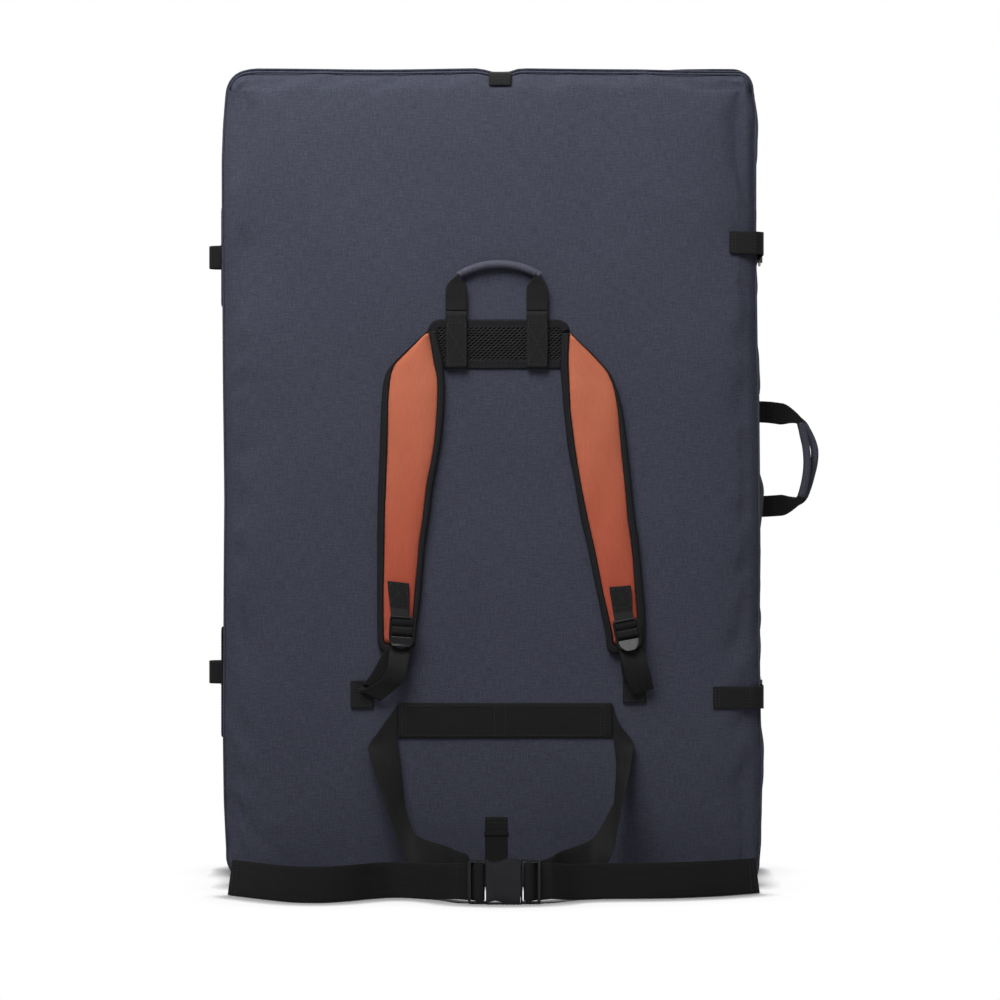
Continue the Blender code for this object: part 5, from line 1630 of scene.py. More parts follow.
@dataclass
class HaulHandle:
    """The grab handle over the yoke: two sewn legs that fold into an arched grip."""

    middle: float = 0.0046
    root: float = 0.6285
    half_span: float = 0.0439
    grip_half: float = 0.0447
    plane: float = -0.1069
    leg_out: tuple = (
        (0.0119, 0.5663), (0.0119, 0.600), (0.0120, 0.636), (0.0120, 0.6480), (0.0108, 0.6553),
        (0.0080, 0.6597), (0.0040, 0.6637), (0.0, 0.6667), (-0.0014, 0.6687),
    )
    leg_in: tuple = (
        (-0.0117, 0.5663), (-0.0117, 0.600), (-0.0117, 0.636), (-0.0117, 0.6470), (-0.0112, 0.6542),
        (-0.0092, 0.6585), (-0.0066, 0.6618), (-0.0048, 0.6648), (-0.0040, 0.6670),
    )

    def leg(self, side: int) -> tuple[Array, Array, Array]:
        """A leg of the webbing, bowed out and thicker where it folds.

        Args:
            side: -1 for the left leg, 1 for the right one.

        Returns:
            Both edges, and the thickness at each pair of points.
        """
        spread = self.middle + side * self.half_span
        edges = (through(rows, 10) for rows in (self.leg_out, self.leg_in))
        outer, inner = (together(spread + side * edge[:, 0], self.plane, edge[:, 1]) for edge in edges)
        bow = -0.0012 * smoothstep(0.635, 0.66, outer[:, 2])
        outer[:, 1] += bow
        inner[:, 1] += bow
        return inner, outer, WEB + 0.0040 * smoothstep(0.655, 0.672, outer[:, 2])

    def build(self) -> None:
        """Make the legs, the upper webbing and the grip, and sew the legs down."""
        ends = []
        stitches = Stitching("haul_leg_stitches")
        for side, word in ((-1, "left"), (1, "right")):
            inner, outer, deep = self.leg(side)
            cut = int(np.sum(outer[:, 2] <= self.root))
            back = -(HALF_DEPTH + 0.0034 + 2 * FIT)
            thick = (back - (self.plane - WEB / 2)) * np.ones(cut)
            middle = (back + self.plane - WEB / 2) / 2
            lower = [edge[:cut].copy() for edge in (inner, outer)]
            for edge in lower:
                edge[:, 1] = middle
                edge[-1, 2] = self.root - FIT
            leg = make_piece(f"haul_leg_{word}_webbing", [ribbon(*lower, Finish.WEBBING, thickness=thick)])
            dress(leg, "front_half", "black_webbing", "haul_leg_" + word)
            upper = [edge[cut - 1 :].copy() for edge in (inner, outer)]
            for edge in upper:
                edge[0, 2] = self.root + FIT
            ends.append(ribbon(*upper, Finish.WEBBING, thickness=deep[cut - 1 :]))
            self.sew_leg(stitches, side)
        dress(make_piece("haul_webbing_ends", ends), "haul_handle", "black_webbing", "haul_webbing")
        stitches.lay("front_half")
        self.build_grip()

    def sew_leg(self, stitches: Stitching, side: int) -> None:
        """Two rows at each end of the sewn box, a cross inside it, and rows above it.

        Args:
            stitches: What takes the rows.
            side: -1 for the left leg, 1 for the right one.
        """
        x = self.middle + side * self.half_span
        y = self.plane - WEB / 2
        left, right, low, high = x - 0.0100, x + 0.0100, 0.5690, 0.6155
        for z in (low, low + 0.0022, high, high + 0.0030, 0.6265):
            stitches.run(np.linspace((left, y, z), (right, y, z), 12), (0, -1, 0))
        for start, end, bottom, top, count in (
            (left, left, low, high, 20),
            (right, right, low, high, 20),
            (left, right, low + 0.004, high - 0.002, 30),
            (right, left, low + 0.004, high - 0.002, 30),
        ):
            stitches.run(np.linspace((start, y, bottom), (end, y, top), count), (0, -1, 0))

    def build_grip(self) -> None:
        """A sleeve on an arch: height falls with the square of the place along it."""
        share = np.linspace(-1, 1, 61)
        x = self.middle + 0.0024 + share * self.grip_half
        z = 0.6672 + 0.0122 * (1 - np.abs(share) ** 2.1)
        path = together(x, self.plane + 0.0006, z)
        pucker = 0.00012 * np.sin(share * 58) * np.abs(share) ** 4
        wide = tall = (0.0043 + pucker) * (1 - 0.14 * np.abs(share) ** 3)
        # The sleeve's paler canvas is painted light.
        grip = make_piece("haul_grip_sleeve", [tube(path, (0, -1, 0), wide, tall, Finish.GRIP)])
        dress(grip, "haul_handle", "navy_fabric", "haul_grip")
        seam = Stitching("haul_grip_stitches", pitch=0.0030)
        for place in (0.05, 0.95):
            spot = int(place * (len(path) - 1))
            turn = np.linspace(0, 2 * np.pi, 25)
            travel = unit(path[min(spot + 1, 60)] - path[spot - 1])
            up = np.cross(travel, (0, 1, 0))
            way = np.cos(turn)[:, None] * np.array([0, -1, 0]) + np.sin(turn)[:, None] * up
            ring = path[spot] + 0.0039 * way
            seam.run(ring, unit(ring - path[spot]))
        seam.lay("haul_handle")


@dataclass
class CarryHandle:
    """A grab handle on the opening edge: webbing legs that fold into a bowed grip."""

    word: str
    side: int
    grip: Sequence[tuple[float, float]]
    half: float
    legs: tuple = (
        ((0.2953, 0.5219), (0.3100, 0.5212), (0.3265, 0.5188)),
        ((0.3265, 0.4176), (0.3100, 0.4162), (0.2953, 0.4155)),
    )
    plane: float = 0.0072

    def line(self, steps: int) -> Array:
        """The handle's middle line: one leg, the grip and the other leg."""
        flat = through(np.array(self.legs[0] + tuple(self.grip) + self.legs[1]), steps)
        return np.insert(flat, 1, self.side * self.plane, axis=1)

    def build(self) -> None:
        """Make the webbing and the sleeve."""
        path = evenly(self.line(40), 121)
        share = np.linspace(0, 1, 121)
        near = np.minimum(share, 1 - share)
        fold = smoothstep(0.14, 0.265, near)
        width = 0.0236 + (0.0080 - 0.0236) * fold
        deep = WEB + (0.0058 - WEB) * fold
        keep = near < 0.30
        bodies = []
        for part in (keep & (share < 0.5), keep & (share > 0.5)):
            run = path[part]
            travel = unit(np.gradient(run, axis=0))
            side = unit(np.cross(travel, np.array([0.0, 1.0, 0.0])))
            half = side * width[part][:, None] / 2
            bodies.append(ribbon(run - half, run + half, Finish.WEBBING, thickness=deep[part]))
        body = self.word + "_carry_handle"
        webbing = make_piece(self.word + "_carry_webbing_legs", bodies)
        dress(webbing, body, "black_webbing", self.word + "_carry_webbing")
        inside = near >= 0.272
        grip_path = path[inside]
        along = np.linspace(-1, 1, len(grip_path))
        pucker = 0.00015 * np.sin(along * 63) * np.abs(along) ** 4
        mouth = 1 - 0.10 * smoothstep(0.93, 1.0, np.abs(along))
        pinch = 1 - 0.16 * np.exp(-(((grip_path[:, 2] - 0.480) / 0.013) ** 2))
        wide = (self.half + pucker) * mouth * pinch
        tall = (0.0043 + pucker) * mouth
        # The sleeve's paler canvas is painted light.
        grip = make_piece(
            self.word + "_carry_grip_sleeve", [tube(grip_path, (0, 1, 0), wide, tall, Finish.GRIP)]
        )
        dress(grip, body, "navy_fabric", self.word + "_carry_grip")
        self.sew(path, body)

    def sew(self, path: Array, body: str) -> None:
        """Rows across each leg close to the pad.

        Args:
            path: The handle's middle line.
            body: The handle's body.
        """
        rows = Stitching(self.word + "_carry_stitches")
        for way in (-1, 1):
            for out in (0.004, 0.007, 0.020):
                x, z = path[0 if way > 0 else -1][[0, 2]] + (out, 0)
                line = np.linspace((x, 0, z - 0.010), (x, 0, z + 0.010), 12)
                for face in (-1, 1):
                    shown = line.copy()
                    shown[:, 1] = self.side * self.plane + face * WEB / 2
                    rows.run(shown, (0, face, 0))
        rows.lay(body)


@dataclass
class Yoke:
    """The air-mesh panel between the straps and the tape frame round it.

    Each side is a table of heights and of the straps' inner edges there.
    """

    left_side: tuple = ((0.563, 0.588, 0.611), (-0.0528, -0.0575, -0.0622))
    right_side: tuple = ((0.563, 0.588, 0.612), (0.0740, 0.0738, 0.0750))
    low: float = 0.5660
    high: float = 0.6195
    tape: float = 0.0093
    thickness: float = 0.0034

    def build(self) -> None:
        """Make the mesh with its slanted holes, painted shade inside them, and the tapes."""
        back = -(HALF_DEPTH + FIT)
        z0, z1 = self.low + 0.006, self.high - 0.006
        share, z = np.meshgrid(np.linspace(0, 1, 340), np.linspace(z0, z1, 110), indexing="ij")
        x0, x1 = (np.interp(z, *side) for side in (self.left_side, self.right_side))
        x = x0 + share * (x1 - x0)
        pitch_x, pitch_z = 0.0050, 0.0027
        row = np.round((z - z0) / pitch_z)
        from_row = (z - z0) / pitch_z - row
        along = (x - (z - z0) * 0.2) / pitch_x + 0.5 * (row % 2)
        from_hole = along - np.round(along)
        tilt = from_row - from_hole * 0.55
        hole = 1 - smoothstep(0.6, 1.0, np.sqrt((from_hole / 0.43) ** 2 + (tilt / 0.33) ** 2))
        swell = 0.0006 * np.sin(np.pi * share) * np.sin(np.pi * (z - z0) / (z1 - z0))
        y = back - 0.0026 - swell + 0.0017 * hole
        front = np.stack([x, y, z], -1)
        flat = Patch(front, np.stack([x, z], -1), Finish.MESH)
        rim = np.concatenate([front[:-1, 0], front[-1, :-1], front[:0:-1, -1], front[0, :0:-1]])
        base = rim.copy()
        base[:, 1] = back - 0.0001
        side = np.stack([rim, base])
        around = arc_length(np.vstack([rim, rim[:1]]))
        cloth = together(around[None], np.array([0, 0.003])[:, None])
        skirt = Patch(side, cloth, Finish.MESH, wrap=True)
        corners = front[::339, ::109].copy()
        corners[..., 1] = base[0, 1]
        under = Patch(corners, corners[..., [0, 2]], Finish.MESH)
        mesh = make_piece("yoke_air_mesh", [flat, skirt, under], weld=2e-5, closed=False)
        facing = np.array([polygon.normal.y for polygon in mesh.data.polygons[:50]])
        if np.mean(facing) > 0:
            mesh.data.flip_normals()
        # Painted shade: faces deep in the holes take the near-black hole finish.
        mesh.data.materials.append(Finish.HOLES.material())
        shaded_hole_faces = (hole[1:, 1:] + hole[:-1, :-1] + hole[1:, :-1] + hole[:-1, 1:]).ravel() > 1.6
        slots = np.zeros(len(mesh.data.polygons), np.int32)
        slots[: len(shaded_hole_faces)] = shaded_hole_faces
        mesh.data.polygons.foreach_set("material_index", slots)
        dress(mesh, "front_half", "black_mesh", "yoke_mesh_panel")
        self.build_tape(back)

    def build_tape(self, back: float) -> None:
        """The bottom tape, and the top one that curves down to the straps' bindings.

        Args:
            back: Where the pad's face lies along y.
        """
        y = back - 0.0014
        level = y - WEB / 2
        top_z, low_z = self.high - self.tape / 2, self.low + self.tape / 2
        left, right = self.left_side[1], self.right_side[1]
        path = through(
            [
                (-0.0655, 0.6050), (-0.0656, 0.6085), (-0.0630, 0.6128), (-0.0575, top_z), (-0.0480, top_z),
                (0.0, top_z), (0.0620, top_z), (0.0715, top_z - 0.0002), (0.0768, 0.6122),
                (0.0790, 0.6085), (0.0791, 0.6050),
            ],
            10,
        )
        line = evenly(together(path[:, 0], y, path[:, 1]), 130)
        upper = strip(line, (0, 0, 1), self.tape, Finish.BINDING, thickness=0.0028)
        bottom = np.linspace((left[0] - 0.001, y, low_z), (right[0] + 0.0005, y, low_z), 60)
        lower = strip(bottom, (0, 0, 1), self.tape, Finish.BINDING, thickness=0.0028)
        piece = make_piece("yoke_tapes", [upper, lower])
        dress(piece, "front_half", "black_webbing", "yoke_tape_frame")
        sewn = Stitching("yoke_stitches")
        for z, x0, x1 in (
            (self.high - self.tape + 0.0012, left[2] + 0.006, right[2] - 0.006),
            (self.high - 0.0016, left[2] + 0.008, right[2] - 0.008),
            (self.low + self.tape - 0.0012, left[0], right[0] - 0.001),
            (self.low + 0.0015, left[0], right[0] - 0.001),
        ):
            sewn.run(np.linspace((x0, level - 0.0007, z), (x1, level - 0.0007, z), 60), (0, -1, 0))
        sewn.lay("front_half")


@dataclass
class Spot:
    """A place on the harness with its own axes: across, down and out of the pad."""

    origin: Array
    u: Array
    v: Array
    n: Array

    def at(self, across: Array | float, down: Array | float, out: Array | float = 0.0) -> Array:
        """Points from distances across, down and out."""
        across, down, out = np.broadcast_arrays(*(np.asarray(v, float) for v in (across, down, out)))
        return self.origin + across[..., None] * self.u + down[..., None] * self.v + out[..., None] * self.n


def ladder_wrap(half: float, end_low: float, end_high: float, mid_low: float, mid_high: float) -> Array:
    """(along, out) of webbing over a ladder's middle bar and back behind both bars.

    Args:
        half: Half the plastic's depth.
        end_low: Outer edge of the end bar.
        end_high: Inner edge of the end bar.
        mid_low: Outer edge of the middle bar.
        mid_high: Inner edge of the middle bar.

    Returns:
        The points, one webbing further in on the way back.
    """
    first = half + FIT + WEB / 2
    second = first + WEB + FIT
    turn = np.radians(90 - 22.5 * np.arange(1, 9))
    start = [[end_low, -first], [end_high + 2 * FIT, -first], [mid_low - 2 * FIT, first], [mid_high, first]]
    arc = np.stack([mid_high + first * np.cos(turn), first * np.sin(turn)], 1)
    return np.vstack([start, arc, [[end_high, -second], [end_low, -second]]])


@dataclass
class ShoulderStrap:
    """A shoulder strap: padded body, bound edges, tab, ladder lock, adjuster and anchor.

    The rows hold a height and four places across at it, in millimetres: the binding's
    outer side away from the other strap, the face's edge there, the face's edge
    towards the other strap and the binding's outer side there.
    """

    word: str
    side: int
    rows: Sequence[tuple[float, ...]]
    lock_x: float
    lock_z: float
    tilt: float
    anchor_x: float
    anchor_z: float
    tab_top: tuple[float, float]
    tail: Sequence[tuple[float, ...]]
    load: Sequence[tuple[float, ...]]
    lip: float
    tab_foot: float
    tab_slope: float
    end_turn: float
    bottom: float = 0.2578
    back: float = -(HALF_DEPTH + FIT)
    thickness: float = 0.0100
    binding_depth: float = 0.0086

    @property
    def body(self) -> str:
        """The CAD body of the strap."""
        return self.word + "_shoulder_strap"

    def edges(self, away: int, near: int, bottom: float) -> tuple[Array, Array]:
        """Two columns of the rows as curves from the tip down, meeting at the bottom.

        The end is a quarter of a superellipse on each side, turned as it goes round.

        Args:
            away: The column of the side away from the other strap.
            near: The column of the side towards it.
            bottom: How low the curves reach.

        Returns:
            The near curve and the away curve, of equal count.
        """
        rows = evenly(through(np.array(self.rows) / 1000, 8), 130)
        outer, inner = rows[:, [away, 0]], rows[:, [near, 0]]
        turn = np.linspace(0, np.pi / 2, 18)[1:, None]
        middle, half = (inner[-1] + outer[-1]) / 2, (outer[-1] - inner[-1]) / 2
        swing = math.radians(self.end_turn) * np.sin(turn)
        half = half[0] * np.hstack([np.cos(swing), np.sin(swing)]) * np.maximum(np.cos(turn), 0.02) ** 0.5
        centre = middle - np.array([0.0, middle[1] - bottom]) * np.sin(turn) ** 0.6
        return np.vstack([inner, centre - half]), np.vstack([outer, centre + half])

    def build(self) -> None:
        """Make every piece of the strap."""
        self.build_pad()
        self.build_binding()
        self.build_lock()
        self.build_adjuster()

    def build_pad(self) -> None:
        """The body: its rise over the pad is a crown of 1 - |w|^3.4, with soft puckers.

        Puckers are sines along the edges that fade with the sixth power of the place
        across.
        """
        inner, outer = self.edges(2, 3, self.bottom + 0.0074)
        tuck = 0.0007 * self.side * smoothstep(0.0, 0.02, arc_length(inner))
        inner[:, 0] -= tuck
        outer[:, 0] += tuck
        w = np.concatenate([np.linspace(-1, 1, 25), np.linspace(1, -1, 9)])
        front = np.concatenate([np.ones(25), np.zeros(9)])
        middle, half = (inner + outer) / 2, (outer - inner) / 2
        length = arc_length(middle)
        flat = middle[:, None] + half[:, None] * w[None, :, None]
        crown = 1 - 0.42 * np.abs(w[None, :]) ** 3.4
        pucker = 0.00035 * np.sin(length[:, None] * 620 + 2.0 * w[None, :]) * np.abs(w[None, :]) ** 5
        slow = 0.0005 * np.sin(length[:, None] * 60 + 3 * w[None, :])
        ends = np.minimum(length, length[-1] - length)
        soft = np.sqrt(np.clip(ends / 0.006, 0.15, 1))[:, None]
        rise = self.thickness * crown * soft + (pucker + slow) * soft
        y = self.back - np.where(front[None, :] > 0, rise, 0.0)
        points = together(flat[..., 0], y, flat[..., 1])
        across = np.concatenate([w, [-1.02]])
        width = np.linalg.norm(half, axis=1)
        cloth = together(length[:, None], across[None, :] * width[:, None])
        form = Patch(points, cloth, Finish.ORANGE, wrap=True, caps=True)
        pad = make_piece(self.word + "_strap_body", [form])
        dress(pad, self.body, "orange_fabric", self.word + "_strap_pad")

    def build_binding(self) -> None:
        """The folded tape round the edge, a bead on the slanted top, and its thread."""
        deep = self.back - self.binding_depth / 2
        loops = []
        for inner, outer in (self.edges(2, 3, self.bottom + 0.0078), self.edges(1, 4, self.bottom)):
            loop = np.vstack([outer, inner[-2::-1]])
            loops.append(np.insert(loop, 1, deep, axis=1))
        both = evenly(np.hstack(loops), 420, by=loops[1])
        face, rim = both[:, :3], both[:, 3:]
        tape = ribbon(face, rim, Finish.BINDING, thickness=self.binding_depth, columns=7)
        binding = make_piece(self.word + "_strap_binding_tape", [tape])
        dress(binding, self.body, "black_webbing", self.word + "_strap_binding")
        sewn = Stitching(self.word + "_strap_binding_stitches", pitch=0.0030, radius=0.00030)
        thread = (rim + (face - rim) * 0.68)[np.linalg.norm(face - rim, axis=1) > 0.005]
        thread[:, 1] = self.back - self.binding_depth * 0.99
        sewn.run(thread[2:-2], (0, -1, 0))
        sewn.lay(self.body)

    def spot(self) -> Spot:
        """The ladder lock's own axes, on its top bar.

        Returns:
            The place that the lock's other pieces are worked out from.
        """
        lean = math.radians(self.tilt) * self.side
        return Spot(
            np.array([self.lock_x, -0.1155, self.lock_z]),
            np.array([math.cos(lean), 0.0, math.sin(lean)]),
            np.array([math.sin(lean), 0.0, -math.cos(lean)]),
            np.array([0.0, -1.0, 0.0]),
        )

    def build_lock(self) -> None:
        """The lock with rounded edges, its lip and the beads on its frame."""
        node = self.word + "_ladder_lock"
        dress(carried(node + "_moulding", node, Finish.LOCK, 0.0008, 3), node, "moulded_plastic", node)
        spot = self.spot()
        share = np.linspace(0, 1, 14)[:, None]
        half = 0.0124 * np.sqrt(np.maximum(1 - share**2.4, 0.0015))
        middle = spot.origin + spot.v * (0.0180 + 0.0128 * share) + spot.n * (0.0012 + self.lip * share)
        half = spot.u * half
        tongue = ribbon(middle - half, middle + half, Finish.LOCK, thickness=0.0024, columns=13)
        along = np.linspace(-1, 1, 12)
        rods = [spot.at(along * 0.0136, -0.0035, 0.0046)]
        rods += [spot.at(side * 0.0134, 0.0070 + along * 0.0100, 0.0044) for side in (-1, 1)]
        thin = np.full(12, 0.0009)
        rods = [tube(rod, (0, -1, 0), thin, thin, Finish.LOCK, 12) for rod in rods]
        dress(make_piece(node + "_lip", [tongue, *rods]), node, "moulded_plastic")
        self.build_tab(spot)

    def build_tab(self, spot: Spot) -> None:
        """The webbing tab round the lock's top bar, sewn to the strap with a box and a cross.

        Args:
            spot: The lock's own axes.
        """
        turn = np.radians(np.linspace(90, -90, 13))
        wrap = 0.0034
        top = np.array([self.tab_top[0], 0.0, self.tab_top[1]]) - spot.origin
        high, slide = float(np.dot(top, spot.v)), float(np.dot(top, spot.u))
        down = np.concatenate([[high, high * 0.3, -wrap], wrap * 1.8 * np.cos(turn), [-wrap, high + 0.0017]])
        out = np.concatenate([[-0.0025, -0.0025, wrap * 0.55], wrap * np.sin(turn), [-0.0042, -0.0042]])
        aside = self.tab_foot + (slide - self.tab_foot) * np.clip(down / high, 0, 1)
        aside[3:16] = 0.0
        path = evenly(spot.at(aside, down, out), 110)
        share = smoothstep(0.0, 1.0, np.dot(path - spot.origin, spot.v) / high)
        slope = spot.u[2] / spot.u[0] * (1 - share) + self.tab_slope * share
        across = unit(np.stack([np.ones(110), np.zeros(110), slope], 1))
        held = smoothstep(-0.0030, 0.0, np.dot(path - spot.origin, spot.v))
        across *= (0.0100 + 0.0018 * share + 0.0016 * held)[:, None]
        web = ribbon(path - across, path + across, Finish.WEBBING)
        tab = make_piece(self.word + "_strap_tab_webbing", [web])
        dress(tab, self.body, "black_webbing", self.word + "_strap_tab")
        sewn = Stitching(self.word + "_strap_tab_stitches")
        level, half, low = -0.0017, 0.0094, high * 0.42
        high += 0.0020
        box = [(-half, high), (half, high), (half, low), (-half, low), (-half, high)]
        lines = [*zip(box, box[1:]), (box[0], box[2]), (box[1], box[3])]
        lines.append(((-half, low + 0.003), (half, low + 0.003)))
        for (a, b), (c, d) in lines:
            across, along = np.linspace(a, c, 18), np.linspace(b, d, 18)
            share = np.clip(along / (high - 0.0020), 0, 1)
            line = spot.at(across + self.tab_foot + (slide - self.tab_foot) * share, along, level)
            line[:, 2] += across * (self.tab_slope - spot.u[2]) * share
            sewn.run(line, spot.n)
        sewn.lay(self.body)

    def build_adjuster(self) -> None:
        """The tail over the lock's middle bar, the load side down to its anchor patch.

        The rows of the tail and of the load hold x and z of the left edge, x and z of the
        right edge, and how far the row stands off the pad, in millimetres.
        """
        spot = self.spot()
        wrap = ladder_wrap(0.0015, -0.0291, -0.0201, -0.0131, -0.0095)
        threaded = spot.at(0.0, -wrap[:, 0], wrap[:, 1])
        across = spot.u * 0.0114
        sides = []
        for rows, start in ((self.tail, threaded[::-1]), (self.load, threaded[-1:])):
            given = np.array(rows) / 1000
            left, right = (together(given[:, i], self.back - given[:, 4], given[:, i + 1]) for i in (0, 2))
            left = through(np.vstack([start[-1:] - across, left]), 10)
            right = through(np.vstack([start[-1:] + across, right]), 10)
            sides.append((np.vstack([start[:-1] - across, left]), np.vstack([start[:-1] + across, right])))
        both = [
            evenly(np.hstack(pair), count, by=(pair[0] + pair[1]) / 2)
            for pair, count in zip(sides, (170, 90))
        ]
        webs = [ribbon(pair[:, :3], pair[:, 3:], Finish.WEBBING) for pair in both]
        loose = make_piece(self.word + "_adjuster_tail", webs[:1])
        node = self.word + "_adjuster_webbing"
        dress(loose, self.word + "_ladder_lock", "black_webbing", node)
        load = make_piece(self.word + "_adjuster_load", webs[1:])
        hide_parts(node)
        ends = [tuple((row[:3] + row[3:]) / 2 + PLACE) for row in (both[1][-1], both[1][0])]
        self.body
        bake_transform(load)
        LOG.info("%s bends from front_half to %s", load.name, self.body)
        self.build_anchor()

    def build_anchor(self) -> None:
        """Two layers of webbing sewn to the pad with a box and a cross."""
        x, z, y = self.anchor_x, self.anchor_z, self.back - 0.0015
        path = np.linspace((x, y, z - 0.0148), (x, y, z + 0.0148), 40)
        patch = strip(path, (1, 0, 0), 0.025, Finish.WEBBING, thickness=0.0029)
        node = self.word + "_strap_anchor"
        dress(make_piece(node + "_patch", [patch]), "front_half", "black_webbing", node)
        sewn = Stitching(node + "_stitches")
        left, right, low, high, face = x - 0.0102, x + 0.0102, z - 0.0125, z + 0.0125, y - 0.00148
        box = [(left, low), (right, low), (right, high), (left, high), (left, low), (right, high)]
        for (a, b), (c, d) in zip(box, box[1:] + [(left, high)]):
            if (a, b) != (right, high) or (c, d) != (left, high):
                sewn.run(np.linspace((a, face, b), (c, face, d), 16), (0, -1, 0))
        sewn.run(np.linspace((right, face, low), (left, face, high), 20), (0, -1, 0))
        sewn.lay("front_half")


@dataclass
class WaistBelt:
    """The waist belt: its band on the pad, a webbing for each side, and the buckle.

    Edge rows are x as a share of the spread, forward as a share of the reach and height
    as a share of the band's height, first of the inner edge and then of the outer one.
    """

    width: float = 0.038
    band_z: float = 0.183
    forward: float = 0.130
    spread: float = 0.145
    tails: tuple = (0.291, 0.279)
    buckle: tuple = (0.0115, -0.230, 0.0236)
    slant: tuple = ((0.0130, 0.0090), (0.0062, 0.0022))
    left_rows: tuple = (
        (0.769, 0.015, 0.896, 0.769, 0.015, 1.093),
        (0.770, 0.020, 0.892, 0.851, 0.023, 1.003),
        (0.771, 0.025, 0.886, 0.897, 0.031, 0.950),
        (0.769, 0.031, 0.874, 0.983, 0.046, 0.852),
        (0.750, 0.040, 0.780, 0.968, 0.108, 0.780),
        (0.728, 0.070, 0.612, 0.893, 0.230, 0.612),
        (0.709, 0.140, 0.494, 0.810, 0.385, 0.428),
        (0.637, 0.330, 0.360, 0.712, 0.520, 0.250),
        (0.548, 0.500, 0.330, 0.593, 0.590, 0.150),
        (0.405, 0.690, 0.311, 0.430, 0.735, 0.060),
    )
    right_rows: tuple = (
        (0.846, 0.015, 0.935, 0.846, 0.015, 1.093),
        (0.850, 0.020, 0.905, 0.890, 0.028, 0.990),
        (0.852, 0.028, 0.885, 1.000, 0.046, 0.869),
        (0.865, 0.038, 0.809, 0.993, 0.108, 0.803),
        (0.872, 0.062, 0.727, 0.963, 0.200, 0.672),
        (0.854, 0.170, 0.541, 0.906, 0.430, 0.541),
        (0.828, 0.230, 0.492, 0.869, 0.508, 0.420),
        (0.716, 0.440, 0.361, 0.819, 0.640, 0.250),
        (0.623, 0.540, 0.314, 0.690, 0.620, 0.130),
        (0.440, 0.725, 0.277, 0.470, 0.750, 0.060),
    )
    left_tail: tuple = (
        (0.240, 0.740), (0.366, 0.620), (0.460, 0.690), (0.550, 0.850),
        (0.650, 0.950), (0.760, 0.900), (0.880, 0.690), (1.000, 0.450),
    )
    right_tail: tuple = (
        (0.280, 0.780), (0.400, 0.700), (0.540, 0.680), (0.680, 0.640), (0.840, 0.520), (1.000, 0.330),
    )

    def threading(self, side: int) -> Array:
        """The belt's middle line through one ladder of the buckle.

        Args:
            side: -1 for the left ladder, 1 for the right one.

        Returns:
            The points, from the tail's end to the load's.
        """
        inner = 0.0183 + (0.0018 if side > 0 else 0.0)
        mid_high, mid_low = inner + 0.0050, inner + 0.0085
        end_high = mid_low + 0.0072
        wrap = ladder_wrap(0.0022, -(end_high + 0.0033), -end_high, -mid_low, -mid_high)
        offset = np.stack([-side * wrap[:, 0], -wrap[:, 1], np.zeros(len(wrap))], 1)
        return np.array(self.buckle) + offset

    def edges(self, side: int) -> tuple[Array, Array]:
        """One side of the belt, from the band to the end of its tail.

        Args:
            side: -1 for the left side, 1 for the right one.

        Returns:
            The upper and the lower edge.
        """
        rows = np.array(self.left_rows if side < 0 else self.right_rows)
        size = np.array([side * self.spread, -self.forward, self.band_z])
        start = np.array([HARNESS_X, -HALF_DEPTH, 0.0])
        inner, outer = (start + part * size for part in (rows[:, :3], rows[:, 3:]))
        threaded = self.threading(side)
        rise = np.array([0.0, 0.0, self.width / 2])
        lead = threaded[-1] + np.array([side * 0.012, 0.0, 0.0])
        upper = rise + np.array([0.0, 0.0, self.slant[side > 0][0]])
        inner = through(np.vstack([inner, lead + upper]), 8)
        outer = through(np.vstack([outer, lead - rise]), 8)
        tail = self.tail_line(side, threaded[0])
        share = np.linspace(0, 1, len(tail))[:, None] ** 6
        slanted = tail + np.array([-side * 0.0050, 0.0, 0.0]) * share
        back = through(threaded[::-1], 3)
        raised = back + rise
        raised[:4, 2] += np.linspace(self.slant[side > 0][1], 0.0, 4)
        lowered = back - rise
        lowered[:, 2] -= 0.0012
        return np.vstack([inner, raised, slanted + rise]), np.vstack([outer, lowered, tail - rise])

    def tail_line(self, side: int, start: Array) -> Array:
        """The tail's middle line, as it lies on edge along the floor.

        Args:
            side: -1 for the left tail, 1 for the right one.
            start: Where it leaves the buckle.

        Returns:
            The points of the line.
        """
        rows = np.array(self.left_tail if side < 0 else self.right_tail)
        length = self.tails[0] if side < 0 else self.tails[1]
        x = HARNESS_X + side * rows[:, 0] * length
        y = -(HALF_DEPTH + rows[:, 1] * self.forward)
        first = start + np.array([side * 0.012, 0.0, 0.0])
        first[2] = self.buckle[2]
        return through(np.vstack([first, together(x, y, self.width / 2 + 0.0004)]), 10)

    def build(self) -> None:
        """Make the band, both webbings, the buckle and their sewing."""
        self.build_band()
        for side, word in ((-1, "left"), (1, "right")):
            inner, outer = self.edges(side)
            both = evenly(np.hstack([inner, outer]), 420, by=(inner + outer) / 2)
            dressed = "belt_webbing_" + word
            web = ribbon(both[:, :3], both[:, 3:], Finish.BELT, columns=13)
            web = make_piece(dressed + "_strap", [web])
            if side < 0:
                dress(web, "waist_belt", "black_webbing", dressed)
            else:
                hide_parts(dressed)
                near = self.threading(side)[-1] + PLACE
                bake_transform(web)
                LOG.info("%s bends from waist_belt to buckle_plug", web.name)
            self.sew_tail(word, both)
        self.build_buckle()

